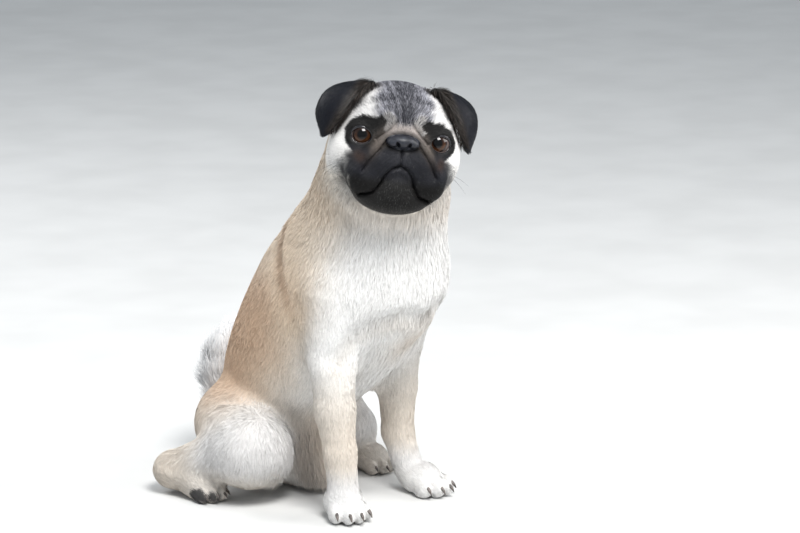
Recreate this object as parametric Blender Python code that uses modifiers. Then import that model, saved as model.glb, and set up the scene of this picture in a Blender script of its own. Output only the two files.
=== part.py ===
"""A sitting pug, life size, as a still museum model.

Metres, +Z up. The dog faces -Y, so its right side is at -X. The body is one
smooth form, blended from anatomical masses, and is parted by thin cuts where
a person would name its parts. The ears are folded sheets and the eyes balls.
"""

import math

import bmesh
import bpy
import numpy as np
import openvdb
from mathutils import Matrix, Vector
from mathutils.bvhtree import BVHTree

# Pose of the head. Its own frame starts midway between the eyeballs, with
# x to the dog's left, y to the back and z up the face.
EYES_AT = (-0.0415, -0.0600, 0.3630)
HEAD_TURN = math.radians(-37.0)
HEAD_NOD = math.radians(5.0)
HEAD_TILT = math.radians(8.2)

EYE_APART = 0.0345
EYE_FORWARD = -0.0025
EYE_OUTWARD = 14.0
EYE_RADIUS = 0.0108

# The gap between two nodes, and how finely the surfaces are made.
GAP = 0.0003
HEAD_VOXEL = 0.0013
BODY_VOXEL = 0.0026
HEAD_TRIANGLES = 4000
BODY_TRIANGLES = 5650
EAR_TRIANGLES = 760


def head_matrix():
    turn = Matrix.Rotation(HEAD_TURN, 4, "Z")
    nod = Matrix.Rotation(-HEAD_NOD, 4, "X")
    tilt = Matrix.Rotation(HEAD_TILT, 4, "Y")
    return Matrix.Translation(EYES_AT) @ turn @ nod @ tilt


HEAD_FRAME = head_matrix()
HEAD = np.array(HEAD_FRAME)


def in_head(p):
    """Points of the dog's frame in the head's own frame."""
    return (p - HEAD[:3, 3]) @ HEAD[:3, :3]


def from_head(*local):
    """A point of the head's frame in the dog's frame."""
    return tuple(HEAD[:3, :3] @ np.array(local) + HEAD[:3, 3])


def blend(a, b, width):
    """The smooth union of two distance fields."""
    near = np.maximum(width - np.abs(a - b), 0.0) / width
    return np.minimum(a, b) - near * near * width / 4


def beyond(p, point, normal):
    """Distance past a plane, on the side its normal points to."""
    return (p - np.array(point)) @ np.array(normal)


def carve(a, b, width):
    """Field a with b taken away, its edge rounded."""
    near = np.maximum(width - np.abs(a + b), 0.0) / width
    return np.maximum(a, -b) + near * near * width / 4


def turned(p, centre, spin):
    """Points about a centre, turned back by degrees about x, y and z."""
    q = p - np.array(centre)
    if spin is None:
        return q
    x, y, z = (math.radians(s) for s in spin)
    turn = Matrix.Rotation(z, 3, "Z") @ Matrix.Rotation(y, 3, "Y") @ Matrix.Rotation(x, 3, "X")
    return q @ np.array(turn)


def ellipsoid(p, centre, radii, spin=None):
    q = turned(p, centre, spin)
    radii = np.array(radii)
    outer = np.linalg.norm(q / radii, axis=1)
    inner = np.linalg.norm(q / radii**2, axis=1)
    return outer * (outer - 1.0) / np.maximum(inner, 1e-9)


def limb(p, a, b, start, end):
    """A round cone from point a to point b, with a radius at each."""
    a, b = np.array(a), np.array(b)
    along = b - a
    t = np.clip((p - a) @ along / (along @ along), 0.0, 1.0)
    return np.linalg.norm(p - a - t[:, None] * along, axis=1) - (start + (end - start) * t)


def chain(p, points, radii, width):
    """Round cones through a row of points, blended into one limb."""
    d = limb(p, points[0], points[1], radii[0], radii[1])
    for i in range(1, len(points) - 1):
        d = blend(d, limb(p, points[i], points[i + 1], radii[i], radii[i + 1]), width)
    return d


def path_distance(q, points):
    """Distance in the face's own x and z from a bent line."""
    best = np.full(len(q), 1.0)
    flat = q[:, [0, 2]]
    for a, b in zip(points[:-1], points[1:]):
        a, b = np.array(a), np.array(b)
        t = np.clip((flat - a) @ (b - a) / ((b - a) @ (b - a)), 0.0, 1.0)
        best = np.minimum(best, np.linalg.norm(flat - a - t[:, None] * (b - a), axis=1))
    return best


def mirrored(q):
    """The head's points with the right half laid over the left one."""
    return np.column_stack([np.abs(q[:, 0]), q[:, 1], q[:, 2]])


def wave(distance, width):
    """A bell-shaped falloff for a ridge or a crease."""
    return np.exp(-((distance / width) ** 2))


# The face's lines, as x and z on its left half, in the head's frame.
NOSE_FOLD = ((0.0, 0.0100), (0.009, 0.0085), (0.018, 0.0015), (0.026, -0.0085), (0.033, -0.0185), (0.038, -0.030))
UNDER_FOLD = ((0.0, 0.0045), (0.008, 0.0035), (0.0145, -0.001), (0.020, -0.009), (0.0275, -0.0185), (0.033, -0.029))
OVER_FOLD = ((0.0065, 0.0170), (0.0100, 0.0110), (0.0160, 0.0055), (0.0235, -0.0015))
BROW_LINE = ((0.0065, 0.0170), (0.0075, 0.0225), (0.0115, 0.0265), (0.018, 0.0275))
UPPER_WRINKLE = ((0.012, 0.036), (0.022, 0.0335), (0.034, 0.0300), (0.044, 0.023))
MOUTH_LINE = ((0.0, -0.0225), (0.0072, -0.0248), (0.0125, -0.0312), (0.0152, -0.0405), (0.0205, -0.0485), (0.031, -0.0515))
PHILTRUM = ((0.0, -0.0065), (0.0, -0.0225))


def head_field(p):
    q = in_head(p)
    h = mirrored(q)
    d = ellipsoid(h, (0.0, 0.032, 0.0095), (0.0505, 0.050, 0.0405))
    d = blend(d, ellipsoid(h, (0.0, 0.004, 0.014), (0.038, 0.024, 0.027)), 0.012)
    d = blend(d, ellipsoid(h, (0.039, 0.022, -0.016), (0.0215, 0.034, 0.031)), 0.016)
    d = blend(d, ellipsoid(h, (0.0, 0.046, -0.030), (0.053, 0.044, 0.036)), 0.018)
    d = blend(d, ellipsoid(h, (0.0, 0.006, -0.0490), (0.037, 0.030, 0.0205)), 0.008)
    d = blend(d, ellipsoid(h, (0.0, -0.002, -0.020), (0.034, 0.025, 0.026)), 0.010)
    d = blend(d, ellipsoid(h, (0.0155, -0.0165, -0.0200), (0.0175, 0.0138, 0.0165)), 0.006)
    d = blend(d, ellipsoid(h, (0.0275, -0.0070, -0.0355), (0.0180, 0.0200, 0.0190), (0, -20, 0)), 0.007)
    d = blend(d, ellipsoid(h, (0.0, -0.0095, -0.0430), (0.0180, 0.0160, 0.0190)), 0.004)
    d = blend(d, ellipsoid(h, (0.0125, -0.0085, 0.0185), (0.0090, 0.0080, 0.0090)), 0.005)
    front = np.clip((0.018 - h[:, 1]) / 0.012, 0.0, 1.0)
    d -= front * 0.0036 * wave(path_distance(h, NOSE_FOLD), 0.0052)
    d = nose_on(d, h)
    d += front * 0.0022 * wave(path_distance(h, UNDER_FOLD), 0.0019)
    d += front * 0.0022 * wave(path_distance(h, OVER_FOLD), 0.0018)
    d += front * 0.0013 * wave(path_distance(h, BROW_LINE), 0.0020)
    d += front * 0.0009 * wave(path_distance(h, UPPER_WRINKLE), 0.0024)
    d += front * 0.0034 * wave(path_distance(h, MOUTH_LINE), 0.0020)
    d += front * 0.0016 * wave(path_distance(h, PHILTRUM), 0.0012)
    return eye_opening(d, h)


def nose_on(d, h):
    """The nose leather, with its wings and the two nostrils."""
    nose = ellipsoid(h, (0.0, -0.0205, -0.0008), (0.0137, 0.0118, 0.0063))
    nose = blend(nose, ellipsoid(h, (0.0, -0.0222, 0.0010), (0.0115, 0.0095, 0.0048)), 0.002)
    nose = blend(nose, ellipsoid(h, (0.0090, -0.0225, -0.0024), (0.0060, 0.0072, 0.0047)), 0.0025)
    d = blend(d, nose, 0.0015)
    nostril = ellipsoid(h, (0.0052, -0.0302, -0.0028), (0.0016, 0.0050, 0.0026), (0, 25, 0))
    slit = ellipsoid(h, (0.0102, -0.0287, -0.0055), (0.0048, 0.0040, 0.0008), (0, 8, 0))
    return carve(carve(d, nostril, 0.0010), slit, 0.0010)


def eye_opening(d, h):
    """The lids: a shell over the eyeball, open in an almond."""
    e = turned(h, (EYE_APART, EYE_FORWARD, 0.0), (0, 0, EYE_OUTWARD))
    lids = np.linalg.norm((e - np.array((0.0, 0.0015, 0.0))) * (1.0, 1.0, 1.06), axis=1) - (EYE_RADIUS + 0.0018)
    d = blend(d, lids, 0.0070)
    almond = (np.sqrt((e[:, 0] / 0.0093) ** 2 + (e[:, 2] / 0.0075) ** 2) - 1.0) * 0.0075
    inside = np.maximum(almond, e[:, 1] + 0.001)
    d = carve(d, inside, 0.0012)
    return d


# Trunk and limbs, in the dog's frame.
NECK = ((-0.013, -0.014, 0.338), (-0.004, 0.000, 0.300), (0.000, 0.022, 0.255))
NECK_RADII = (0.053, 0.0565, 0.064)

# Folds of the coat under the chest and above the thigh: line, depth and width.
FOLDS = (
    (((0.0690, -0.0060, 0.1500), (0.0566, -0.0180, 0.1720), (0.0402, -0.0330, 0.1850), (0.0229, -0.0450, 0.1910),
      (0.0030, -0.0480, 0.1850)), 0.0060, 0.0085),
    (((0.0865, 0.1303, 0.0924), (0.0800, 0.1110, 0.0950), (0.0682, 0.0961, 0.0940), (0.0612, 0.0885, 0.0900),
      (0.0539, 0.0827, 0.0787)), 0.0035, 0.0050),
)


def trunk_field(p):
    d = ellipsoid(p, (0.0, 0.062, 0.188), (0.079, 0.114, 0.084), (-52, 0, 0))
    d = blend(d, ellipsoid(p, (0.0, 0.118, 0.122), (0.071, 0.092, 0.066), (-58, 0, 0)), 0.03)
    d = blend(d, ellipsoid(p, (0.0, 0.142, 0.053), (0.054, 0.058, 0.056)), 0.03)
    d = blend(d, ellipsoid(p, (-0.004, 0.102, 0.036), (0.040, 0.050, 0.037)), 0.02)
    d = blend(d, ellipsoid(p, (0.0, 0.004, 0.216), (0.064, 0.058, 0.062)), 0.016)
    d = blend(d, chain(p, NECK, NECK_RADII, 0.03), 0.035)
    return d


FORELEGS = {
    "right": {
        "points": ((-0.044, 0.014, 0.205), (-0.055, 0.014, 0.145), (-0.058, 0.008, 0.100),
                   (-0.058, 0.001, 0.060), (-0.059, -0.004, 0.022)),
        "paw": (-0.061, -0.009), "toe_out": math.radians(24.0),
    },
    "left": {
        "points": ((0.044, 0.016, 0.205), (0.048, 0.030, 0.145), (0.048, 0.033, 0.100),
                   (0.048, 0.032, 0.055), (0.049, 0.020, 0.024)),
        "paw": (0.052, -0.001), "toe_out": math.radians(0.0),
    },
}
FORELEG_RADII = (0.038, 0.0235, 0.0200, 0.0155, 0.0150)

HINDLEGS = {
    "right": {
        "hip": (-0.054, 0.144, 0.062), "knee": (-0.084, 0.095, 0.051), "knee_radius": 0.038, "shin_radius": 0.030,
        "hock": (-0.114, 0.172, 0.022), "paw": (-0.110, 0.132), "toe_out": math.radians(0.0),
    },
    "left": {
        "hip": (0.054, 0.150, 0.062), "knee": (0.068, 0.122, 0.036), "knee_radius": 0.029, "shin_radius": 0.024,
        "hock": (0.086, 0.172, 0.022), "paw": (0.071, 0.088), "toe_out": math.radians(0.0),
    },
}
HIP_RADIUS, HOCK_RADIUS = 0.043, 0.0175
HINDPAW_SIZE = 0.84


# The toes of a paw: across, forward of its middle, and how far each turns out.
TOES = ((-0.0140, -0.0085, -10), (-0.0050, -0.0160, -3), (0.0050, -0.0160, 3), (0.0140, -0.0085, 10))
CLAW_FROM, CLAW_TO, CLAW_RADIUS = (0.0, -0.0090, 0.0112), (0.0, -0.0165, 0.0062), 0.0024


def paw_field(p, at, toe_out, side, size=1.0):
    """Four toes and the pad behind them, pointing to -Y before toe_out."""
    out = toe_out if side == "left" else -toe_out
    c, s = math.cos(out), math.sin(out)
    q = p - np.array((at[0], at[1], 0.0))
    q = np.column_stack([c * q[:, 0] + s * q[:, 1], -s * q[:, 0] + c * q[:, 1], q[:, 2]]) / size
    d = ellipsoid(q, (0.0, 0.006, 0.014), (0.0190, 0.0225, 0.0165))
    for x, y, turn in TOES:
        d = blend(d, ellipsoid(q, (x, y, 0.0088), (0.0066, 0.0130, 0.0094), (0, 0, turn)), 0.003)
    return d * size


def foreleg_field(p, side):
    leg = FORELEGS[side]
    d = chain(p, leg["points"], FORELEG_RADII, 0.006)
    return blend(d, paw_field(p, leg["paw"], leg["toe_out"], side), 0.007)


def hindleg_field(p, side):
    leg = HINDLEGS[side]
    d = limb(p, leg["hip"], leg["knee"], HIP_RADIUS, leg["knee_radius"])
    d = blend(d, limb(p, leg["knee"], leg["hock"], leg["shin_radius"], HOCK_RADIUS), 0.012)
    toes = (leg["paw"][0], leg["paw"][1], 0.0135)
    d = blend(d, limb(p, leg["hock"], toes, HOCK_RADIUS, 0.0130), 0.006)
    return blend(d, paw_field(p, leg["paw"], leg["toe_out"], side, HINDPAW_SIZE), 0.006)


# Each ear as rows of points in millimetres, from its root on the skull, over
# the fold and down the flap to the tip: out from the middle, back and up.
EAR_ROWS = (
    ((23, 18, 40), (32, 26, 36), (41, 37, 26), (46, 46, 13)),
    ((27, 16, 49), (40, 23, 46), (55, 37, 39), (60, 47, 21)),
    ((33, 11, 46), (49, 15, 46), (70, 31, 38), (73, 39, 19)),
    ((41, 7, 36), (56, 8, 31), (74, 24, 26), (74, 31, 9)),
    ((50, 5, 21), (60, 7, 16), (70, 18, 10), (70, 24, 1)),
    ((57, 8, 4), (61, 10, 0), (65, 15, -7), (67, 18, -6)),
)
EAR_THICKNESS = 0.0026

TAIL = ((0.000, 0.184, 0.062), (-0.002, 0.206, 0.067), (-0.003, 0.220, 0.081), (0.000, 0.223, 0.098),
        (0.013, 0.219, 0.111), (0.030, 0.213, 0.106), (0.040, 0.212, 0.088))
TAIL_RADII = (0.020, 0.0170, 0.0145, 0.0135, 0.0125, 0.0110, 0.0080)
# The plume: where each lock leaves the tail's line, and which way it lies.
LOCKS = (
    (1.6, (-0.5, 0.9, 0.8)), (2.0, (0.6, 0.9, 0.9)), (2.4, (-0.8, 0.4, 1.0)), (2.8, (0.1, 0.8, 1.1)),
    (3.2, (-0.7, 0.4, 1.0)), (3.5, (-0.4, 0.7, 0.8)), (3.9, (-0.2, 0.1, 1.0)), (4.3, (0.6, 0.5, 0.8)),
    (4.7, (0.5, -0.3, 0.9)), (5.1, (1.0, 0.3, 0.3)), (5.5, (0.8, 0.4, -0.5)),
)
LOCK_LENGTH, LOCK_WIDTH, LOCK_DEPTH = 0.027, 0.0115, 0.0048
# Where the curl of the tail leaves the rest of it.
CURL_AT, CURL_WAY = (0.0100, 0.2200, 0.1080), (0.850, -0.200, 0.487)

# The nose leather's hollow in the head.
NOSE_AT, NOSE_RADII = (0.0, -0.0218, -0.0008), (0.0160, 0.0128, 0.0076)

# The boxes that take off the paws of each side, fore and hind, and the forelegs.
PAW_BOXES = {
    "right": ((-0.11, -0.06, -0.01), (-0.024, 0.040, 0.034), (-0.15, 0.104, -0.01), (-0.092, 0.152, 0.026)),
    "left": ((0.024, -0.06, -0.01), (0.11, 0.056, 0.036), (0.045, 0.040, -0.01), (0.11, 0.102, 0.027)),
}
FORELEG_BOXES = {
    "right": ((-0.12, -0.05, -0.01), (-0.031, 0.050, 0.132)),
    "left": ((0.025, -0.05, -0.01), (0.12, 0.056, 0.132)),
}
HIP_LEAN = math.radians(110.5)

# Where the head leaves the neck, in the head's frame.
HEAD_CUT_AT, HEAD_CUT_UP = (0.0, 0.036, -0.0700), (0.0, -0.6200, 0.7846)


def flesh(p):
    """The body with its tail, a little deeper than the floor."""
    d = trunk_field(p)
    for side in ("right", "left"):
        d = blend(d, foreleg_field(p, side), 0.014)
        d = blend(d, hindleg_field(p, side), 0.016)
    d = blend(d, head_field(p), 0.007)
    d = blend(d, chain(p, TAIL, TAIL_RADII, 0.006), 0.008)
    both = np.column_stack([np.abs(p[:, 0]), p[:, 1], p[:, 2]])
    for line, depth, width in FOLDS:
        d = d + depth * wave(chain(both, line, (0.0,) * len(line), 0.0001), width)
    return np.maximum(d, -0.002 - p[:, 2])


def head_flesh(p):
    return np.maximum(flesh(p), -0.006 - beyond(in_head(p), HEAD_CUT_AT, HEAD_CUT_UP))


def body_flesh(p):
    return np.maximum(flesh(p), beyond(in_head(p), HEAD_CUT_AT, HEAD_CUT_UP) - 0.006)


def surface(name, field, low, high, voxel):
    """A mesh of quads where the field is zero, sampled only near there."""
    low = np.array(low)
    coarse = [int(math.ceil((h - l) / voxel / 4)) + 1 for l, h in zip(low, high)]
    index = np.stack(np.meshgrid(*[np.arange(c) for c in coarse], indexing="ij"), -1).reshape(-1, 3)
    rough = field(low + (index * 4 + 1.5) * voxel).reshape(coarse)
    values = np.repeat(np.repeat(np.repeat(rough, 4, 0), 4, 1), 4, 2)
    reach = 5.0 * voxel
    near = np.argwhere(np.abs(values) < reach)
    values = np.where(values > 0, reach, -reach).astype(np.float32)
    values[tuple(near.T)] = field(low + near * voxel)
    grid = openvdb.FloatGrid()
    grid.background = reach
    grid.copyFromArray(values)
    points, quads = grid.convertToQuads(isovalue=0.0)
    mesh = bpy.data.meshes.new(name)
    mesh.from_pydata((points * voxel + low).tolist(), [], quads[:, ::-1].tolist())
    return placed(name, mesh)


def placed(name, mesh):
    obj = bpy.data.objects.new(name, mesh)
    PUG.objects.link(obj)
    return obj


def settled(obj):
    """Turns an object's modifiers into its mesh."""
    view = bpy.context.evaluated_depsgraph_get()
    view.update()
    mesh = bpy.data.meshes.new_from_object(obj.evaluated_get(view))
    mesh.name = obj.name
    obj.modifiers.clear()
    obj.data = mesh
    return obj


def thinned(obj, triangles):
    """Fewer triangles for a surface, most of them where it bends."""
    thin = obj.modifiers.new("thin", "DECIMATE")
    thin.ratio = triangles / sum(len(face.vertices) - 2 for face in obj.data.polygons)
    return settled(obj)


def cut(obj, cutter, operation="DIFFERENCE", solver="EXACT"):
    made = obj.modifiers.new(operation.lower(), "BOOLEAN")
    made.operation, made.solver, made.object = operation, solver, cutter
    return settled(obj)


def fused(obj, pieces):
    """Joins closed pieces to an object in one union."""
    holder = collection("pieces", hidden=True)
    for piece in pieces:
        holder.objects.link(piece)
    made = obj.modifiers.new("fused", "BOOLEAN")
    made.operation, made.solver, made.operand_type, made.collection = "UNION", "MANIFOLD", "COLLECTION", holder
    settled(obj)
    for piece in pieces:
        bpy.data.objects.remove(piece)
    bpy.data.collections.remove(holder)


def as_cutter(obj):
    for holder in obj.users_collection:
        holder.objects.unlink(obj)
    CUTTERS.objects.link(obj)
    obj.hide_render = True
    obj.display_type = "WIRE"
    return obj


def block(name, low, high, frame=Matrix.Identity(4), grow=0.0):
    """A box between two corners of a frame, as a cutter."""
    low, high = Vector(low) - Vector((grow,) * 3), Vector(high) + Vector((grow,) * 3)
    bm = bmesh.new()
    bmesh.ops.create_cube(bm, size=1.0)
    bmesh.ops.scale(bm, vec=high - low, verts=bm.verts)
    bmesh.ops.translate(bm, vec=(low + high) / 2, verts=bm.verts)
    bmesh.ops.transform(bm, matrix=frame, verts=bm.verts)
    mesh = bpy.data.meshes.new(name)
    bm.to_mesh(mesh)
    bm.free()
    return as_cutter(placed(name, mesh))


def ball(name, centre, radii, segments=18, rings=12):
    """A ball or an egg in the head's frame, its poles to the front and back."""
    bm = bmesh.new()
    bmesh.ops.create_uvsphere(bm, u_segments=segments, v_segments=rings, radius=1.0)
    bmesh.ops.rotate(bm, matrix=Matrix.Rotation(math.radians(90), 3, "X"), verts=bm.verts)
    bmesh.ops.scale(bm, vec=radii, verts=bm.verts)
    bmesh.ops.transform(bm, matrix=HEAD_FRAME @ Matrix.Translation(centre), verts=bm.verts)
    mesh = bpy.data.meshes.new(name)
    bm.to_mesh(mesh)
    bm.free()
    return placed(name, mesh)


def largest(obj):
    """Keeps the largest closed piece of an object."""
    bm = bmesh.new()
    bm.from_mesh(obj.data)
    bmesh.ops.remove_doubles(bm, verts=bm.verts, dist=0.00001)
    left, pieces = set(bm.verts), []
    while left:
        reached = {left.pop()}
        edge_of = list(reached)
        while edge_of:
            vert = edge_of.pop()
            for edge in vert.link_edges:
                other = edge.other_vert(vert)
                if other not in reached:
                    reached.add(other)
                    edge_of.append(other)
        left -= reached
        pieces.append(reached)
    keep = max(pieces, key=len)
    bmesh.ops.delete(bm, geom=[v for v in bm.verts if v not in keep], context="VERTS")
    bm.to_mesh(obj.data)
    bm.free()
    return obj


def lock(along, way):
    """One flat, tapered lock of the tail's plume."""
    step = int(along)
    start = Vector(TAIL[step]).lerp(Vector(TAIL[step + 1]), along - step)
    way = Vector(way).normalized()
    flat = Matrix.Diagonal((LOCK_WIDTH / 2, LOCK_DEPTH / 2, 1.0, 1.0))
    bm = bmesh.new()
    bmesh.ops.create_cone(
        bm, cap_ends=True, segments=8, radius1=1.0, radius2=0.08, depth=LOCK_LENGTH, matrix=facing(
            start + way * LOCK_LENGTH / 2, way) @ flat)
    return free_piece("lock", bm)


def free_piece(name, bm):
    """An object, in no collection yet, from a finished bmesh."""
    mesh = bpy.data.meshes.new(name)
    bm.to_mesh(mesh)
    bm.free()
    return bpy.data.objects.new(name, mesh)


def facing(point, normal):
    """A frame at a point, with its Z along a normal."""
    return Matrix.Translation(point) @ Vector(normal).to_track_quat("Z", "Y").to_matrix().to_4x4()


def parted(name, whole, low, high, frame=Matrix.Identity(4)):
    """Takes the flesh inside a box off the whole, as a node of its own."""
    node = placed(name, whole.data.copy())
    cut(node, block(name + "_box", low, high, frame), "INTERSECT")
    cut(whole, block(name + "_room", low, high, frame, grow=GAP))
    return node


def ear(name, side):
    rows = [[(side * x / 1000, y / 1000, z / 1000) for x, y, z in row] for row in EAR_ROWS]
    wide = len(rows[0])
    points = [from_head(*point) for row in rows for point in row]
    faces = []
    for r in range(len(rows) - 1):
        for c in range(wide - 1):
            corner = r * wide + c
            face = (corner, corner + 1, corner + wide + 1, corner + wide)
            faces.append(face if side > 0 else face[::-1])
    mesh = bpy.data.meshes.new(name)
    mesh.from_pydata(points, [], faces)
    obj = placed(name, mesh)
    smooth = obj.modifiers.new("smooth", "SUBSURF")
    smooth.levels = smooth.render_levels = 2
    thick = obj.modifiers.new("thick", "SOLIDIFY")
    thick.thickness, thick.offset = EAR_THICKNESS, 0.0
    return thinned(settled(obj), EAR_TRIANGLES)


def claw(paw_at, toe_out, side, toe, size):
    """One claw, a peg tapering forward and down from its toe."""
    x, y, turn = toe
    out = toe_out if side == "left" else -toe_out
    frame = Matrix.Translation((paw_at[0], paw_at[1], 0.0)) @ Matrix.Rotation(out, 4, "Z") @ Matrix.Scale(size, 4)
    frame = frame @ Matrix.Translation((x, y, 0.0)) @ Matrix.Rotation(math.radians(turn), 4, "Z")
    start, end = Vector(CLAW_FROM), Vector(CLAW_TO)
    aim = (end - start).to_track_quat("Z", "Y").to_matrix().to_4x4()
    bm = bmesh.new()
    bmesh.ops.create_cone(
        bm, cap_ends=True, segments=8, radius1=CLAW_RADIUS, radius2=CLAW_RADIUS / 4,
        depth=(end - start).length, matrix=frame @ Matrix.Translation((start + end) / 2) @ aim)
    return free_piece("claw", bm)


def collection(name, hidden=False):
    made = bpy.data.collections.new(name)
    bpy.context.scene.collection.children.link(made)
    made.hide_render = hidden
    return made


def look(obj, name, colour, roughness):
    material = bpy.data.materials.get(name)
    if material is None:
        material = bpy.data.materials.new(name)
        material.use_nodes = True
        shader = material.node_tree.nodes["Principled BSDF"]
        shader.inputs["Base Color"].default_value = (*colour, 1.0)
        shader.inputs["Roughness"].default_value = roughness
    obj.data.materials.clear()
    obj.data.materials.append(material)


for old in list(bpy.data.objects):
    bpy.data.objects.remove(old)
PUG = collection("pug")
CUTTERS = collection("cutters", hidden=True)

# The trunk with its legs and tail, cut flat where it sits on the floor.
body = surface("torso", body_flesh, (-0.16, -0.10, -0.01), (0.14, 0.26, 0.42), BODY_VOXEL)
thinned(body, BODY_TRIANGLES)
cut(body, block("floor", (-0.4, -0.4, -0.1), (0.4, 0.4, 0.0)))
claws = []
for side in ("right", "left"):
    for leg, size in ((FORELEGS[side], 1.0), (HINDLEGS[side], HINDPAW_SIZE)):
        claws += [claw(leg["paw"], leg["toe_out"], side, toe, size) for toe in TOES]
fused(body, claws)

# The head, with a flat underside where the neck begins.
NECK_TOP = HEAD_FRAME @ facing(HEAD_CUT_AT, HEAD_CUT_UP)
middle = np.array(from_head(0.0, 0.03, -0.01))
head = surface("head", head_flesh, middle - 0.104, middle + 0.104, HEAD_VOXEL)
thinned(head, HEAD_TRIANGLES)
cut(head, block("neck_side", (-0.2, -0.2, -0.2), (0.2, 0.2, GAP / 2), NECK_TOP))
cut(body, block("head_side", (-0.2, -0.2, -GAP / 2), (0.2, 0.2, 0.2), NECK_TOP))

# The neck, the legs and the tail, each taken off the trunk by a box.
neck = parted("neck", body, (-0.13, -0.15, 0.0), (0.13, 0.15, 0.2), facing((0.0, 0.020, 0.256), (0.0, -0.316, 0.949)))
tail = parted("tail", body, (-0.05, 0.2015, 0.040), (0.09, 0.28, 0.20))
fused(tail, [lock(along, way) for along, way in LOCKS])
largest(tail)
tail_curl = parted("tail_curl", tail, (-0.05, -0.05, 0.0), (0.05, 0.05, 0.08), facing(CURL_AT, CURL_WAY))
nodes = [neck, tail, tail_curl]
for side, (fore_low, fore_high, hind_low, hind_high) in PAW_BOXES.items():
    sign = -1 if side == "right" else 1
    low, high = FORELEG_BOXES[side]
    nodes.append(parted("hindpaw_" + side, body, hind_low, hind_high))
    nodes.append(parted("forepaw_" + side, body, fore_low, fore_high))
    nodes.append(parted("foreleg_" + side, body, low, high))
    hip = Matrix.Translation((sign * 0.045, 0.0, 0.03)) @ Matrix.Rotation(sign * HIP_LEAN, 4, "Y")
    up = (-0.12, 0.088) if side == "right" else (-0.088, 0.12)
    nodes.append(parted("hindleg_" + side, body, (up[0], 0.045, 0.0), (up[1], 0.26, 0.15), hip))
nodes.append(body)

# The nose leather is a node of its own, in a hollow of the head.
nose = placed("nose", head.data.copy())
cut(nose, as_cutter(ball("nose_space", NOSE_AT, NOSE_RADII, 20, 14)), "INTERSECT")
cut(head, as_cutter(ball("nose_room", NOSE_AT, [r + GAP for r in NOSE_RADII], 20, 14)))

# The eyes, each in a socket that clears it.
eyes = []
for side, sign in (("right", -1), ("left", 1)):
    centre = (sign * EYE_APART, EYE_FORWARD, 0.0)
    cut(head, as_cutter(ball("socket", centre, (EYE_RADIUS + GAP,) * 3)))
    eyes.append(ball("eye_" + side, centre, (EYE_RADIUS,) * 3))

# The ears stand on the skull, a gap away from it.
skull = placed("skull", head.data.copy())
grown = skull.modifiers.new("grown", "DISPLACE")
grown.strength, grown.mid_level = GAP, 0.0
as_cutter(settled(skull))
ears = []
for side, sign in (("right", -1), ("left", 1)):
    made = ear("ear_" + side, sign)
    cut(made, skull)
    ears.append(made)

FAWN, CREAM, BLACK, WHITE = (0.62, 0.43, 0.27), (0.80, 0.72, 0.60), (0.025, 0.022, 0.024), (0.85, 0.82, 0.77)
for node in nodes + [head]:
    light = node.name.startswith(("fore", "hindpaw"))
    if node in (tail, tail_curl):
        look(node, "white hair", WHITE, 0.8)
    elif light or node in (neck,):
        look(node, "cream coat", CREAM, 0.8)
    else:
        look(node, "fawn coat", FAWN, 0.8)
for node in ears:
    look(node, "black coat", BLACK, 0.7)
for node in eyes:
    look(node, "eye", (0.06, 0.025, 0.012), 0.08)
look(nose, "nose leather", (0.02, 0.02, 0.024), 0.35)

# Each node is one closed piece, and the dog stands centred on the origin.
everything = nodes + [head, nose] + eyes + ears
for node in everything:
    largest(node)
corners = np.concatenate([np.array([v.co for v in node.data.vertices]) for node in everything])
low, high = corners.min(axis=0), corners.max(axis=0)
for node in everything:
    node.data.transform(Matrix.Translation((-(low[0] + high[0]) / 2, -(low[1] + high[1]) / 2, -low[2])))
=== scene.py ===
"""Looks of a sitting pug, life size: skin, short coat, eyes, nose, ears and tail.

The body is one smooth form blended from anatomical masses. The skin is made
from it a coat's depth inside, and the coat stands on the skin in small tufts.
"""

import math

import bmesh
import bpy
import numpy as np
import openvdb
from mathutils import Matrix, Vector


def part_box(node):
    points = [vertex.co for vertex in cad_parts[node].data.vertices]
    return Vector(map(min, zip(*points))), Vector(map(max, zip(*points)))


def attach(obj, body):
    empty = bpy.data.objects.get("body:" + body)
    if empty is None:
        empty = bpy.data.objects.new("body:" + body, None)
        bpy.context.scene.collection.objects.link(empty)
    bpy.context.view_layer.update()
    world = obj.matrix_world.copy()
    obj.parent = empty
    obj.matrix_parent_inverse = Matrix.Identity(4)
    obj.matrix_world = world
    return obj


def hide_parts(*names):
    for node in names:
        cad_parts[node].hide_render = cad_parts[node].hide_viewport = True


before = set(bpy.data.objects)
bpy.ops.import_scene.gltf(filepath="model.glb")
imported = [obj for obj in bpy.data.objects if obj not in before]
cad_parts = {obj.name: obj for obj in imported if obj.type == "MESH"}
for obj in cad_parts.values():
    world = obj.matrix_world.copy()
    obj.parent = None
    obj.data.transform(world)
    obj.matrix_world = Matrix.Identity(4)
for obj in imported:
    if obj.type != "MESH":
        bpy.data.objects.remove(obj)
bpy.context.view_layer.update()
ROOT = "root"

# Pose of the head. Its own frame starts midway between the eyeballs, with
# x to the dog's left, y to the back and z up the face.
EYES_AT = (-0.0415, -0.06, 0.363)
HEAD_TURN = math.radians(-37)
HEAD_NOD = math.radians(5)
HEAD_TILT = math.radians(8.2)
EYE_APART = 0.0345
EYE_FORWARD = -0.0025
EYE_OUTWARD = 14
EYE_RADIUS = 0.0108

HEAD_FRAME = (
    Matrix.Translation(EYES_AT)
    @ Matrix.Rotation(HEAD_TURN, 4, "Z")
    @ Matrix.Rotation(-HEAD_NOD, 4, "X")
    @ Matrix.Rotation(HEAD_TILT, 4, "Y")
)
HEAD = np.array(HEAD_FRAME)

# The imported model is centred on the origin, and the shapes here are not.
eye_low, eye_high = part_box("eye_right")
SHIFT = (eye_low + eye_high) / 2 - HEAD_FRAME @ Vector((-EYE_APART, EYE_FORWARD, 0))

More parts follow.
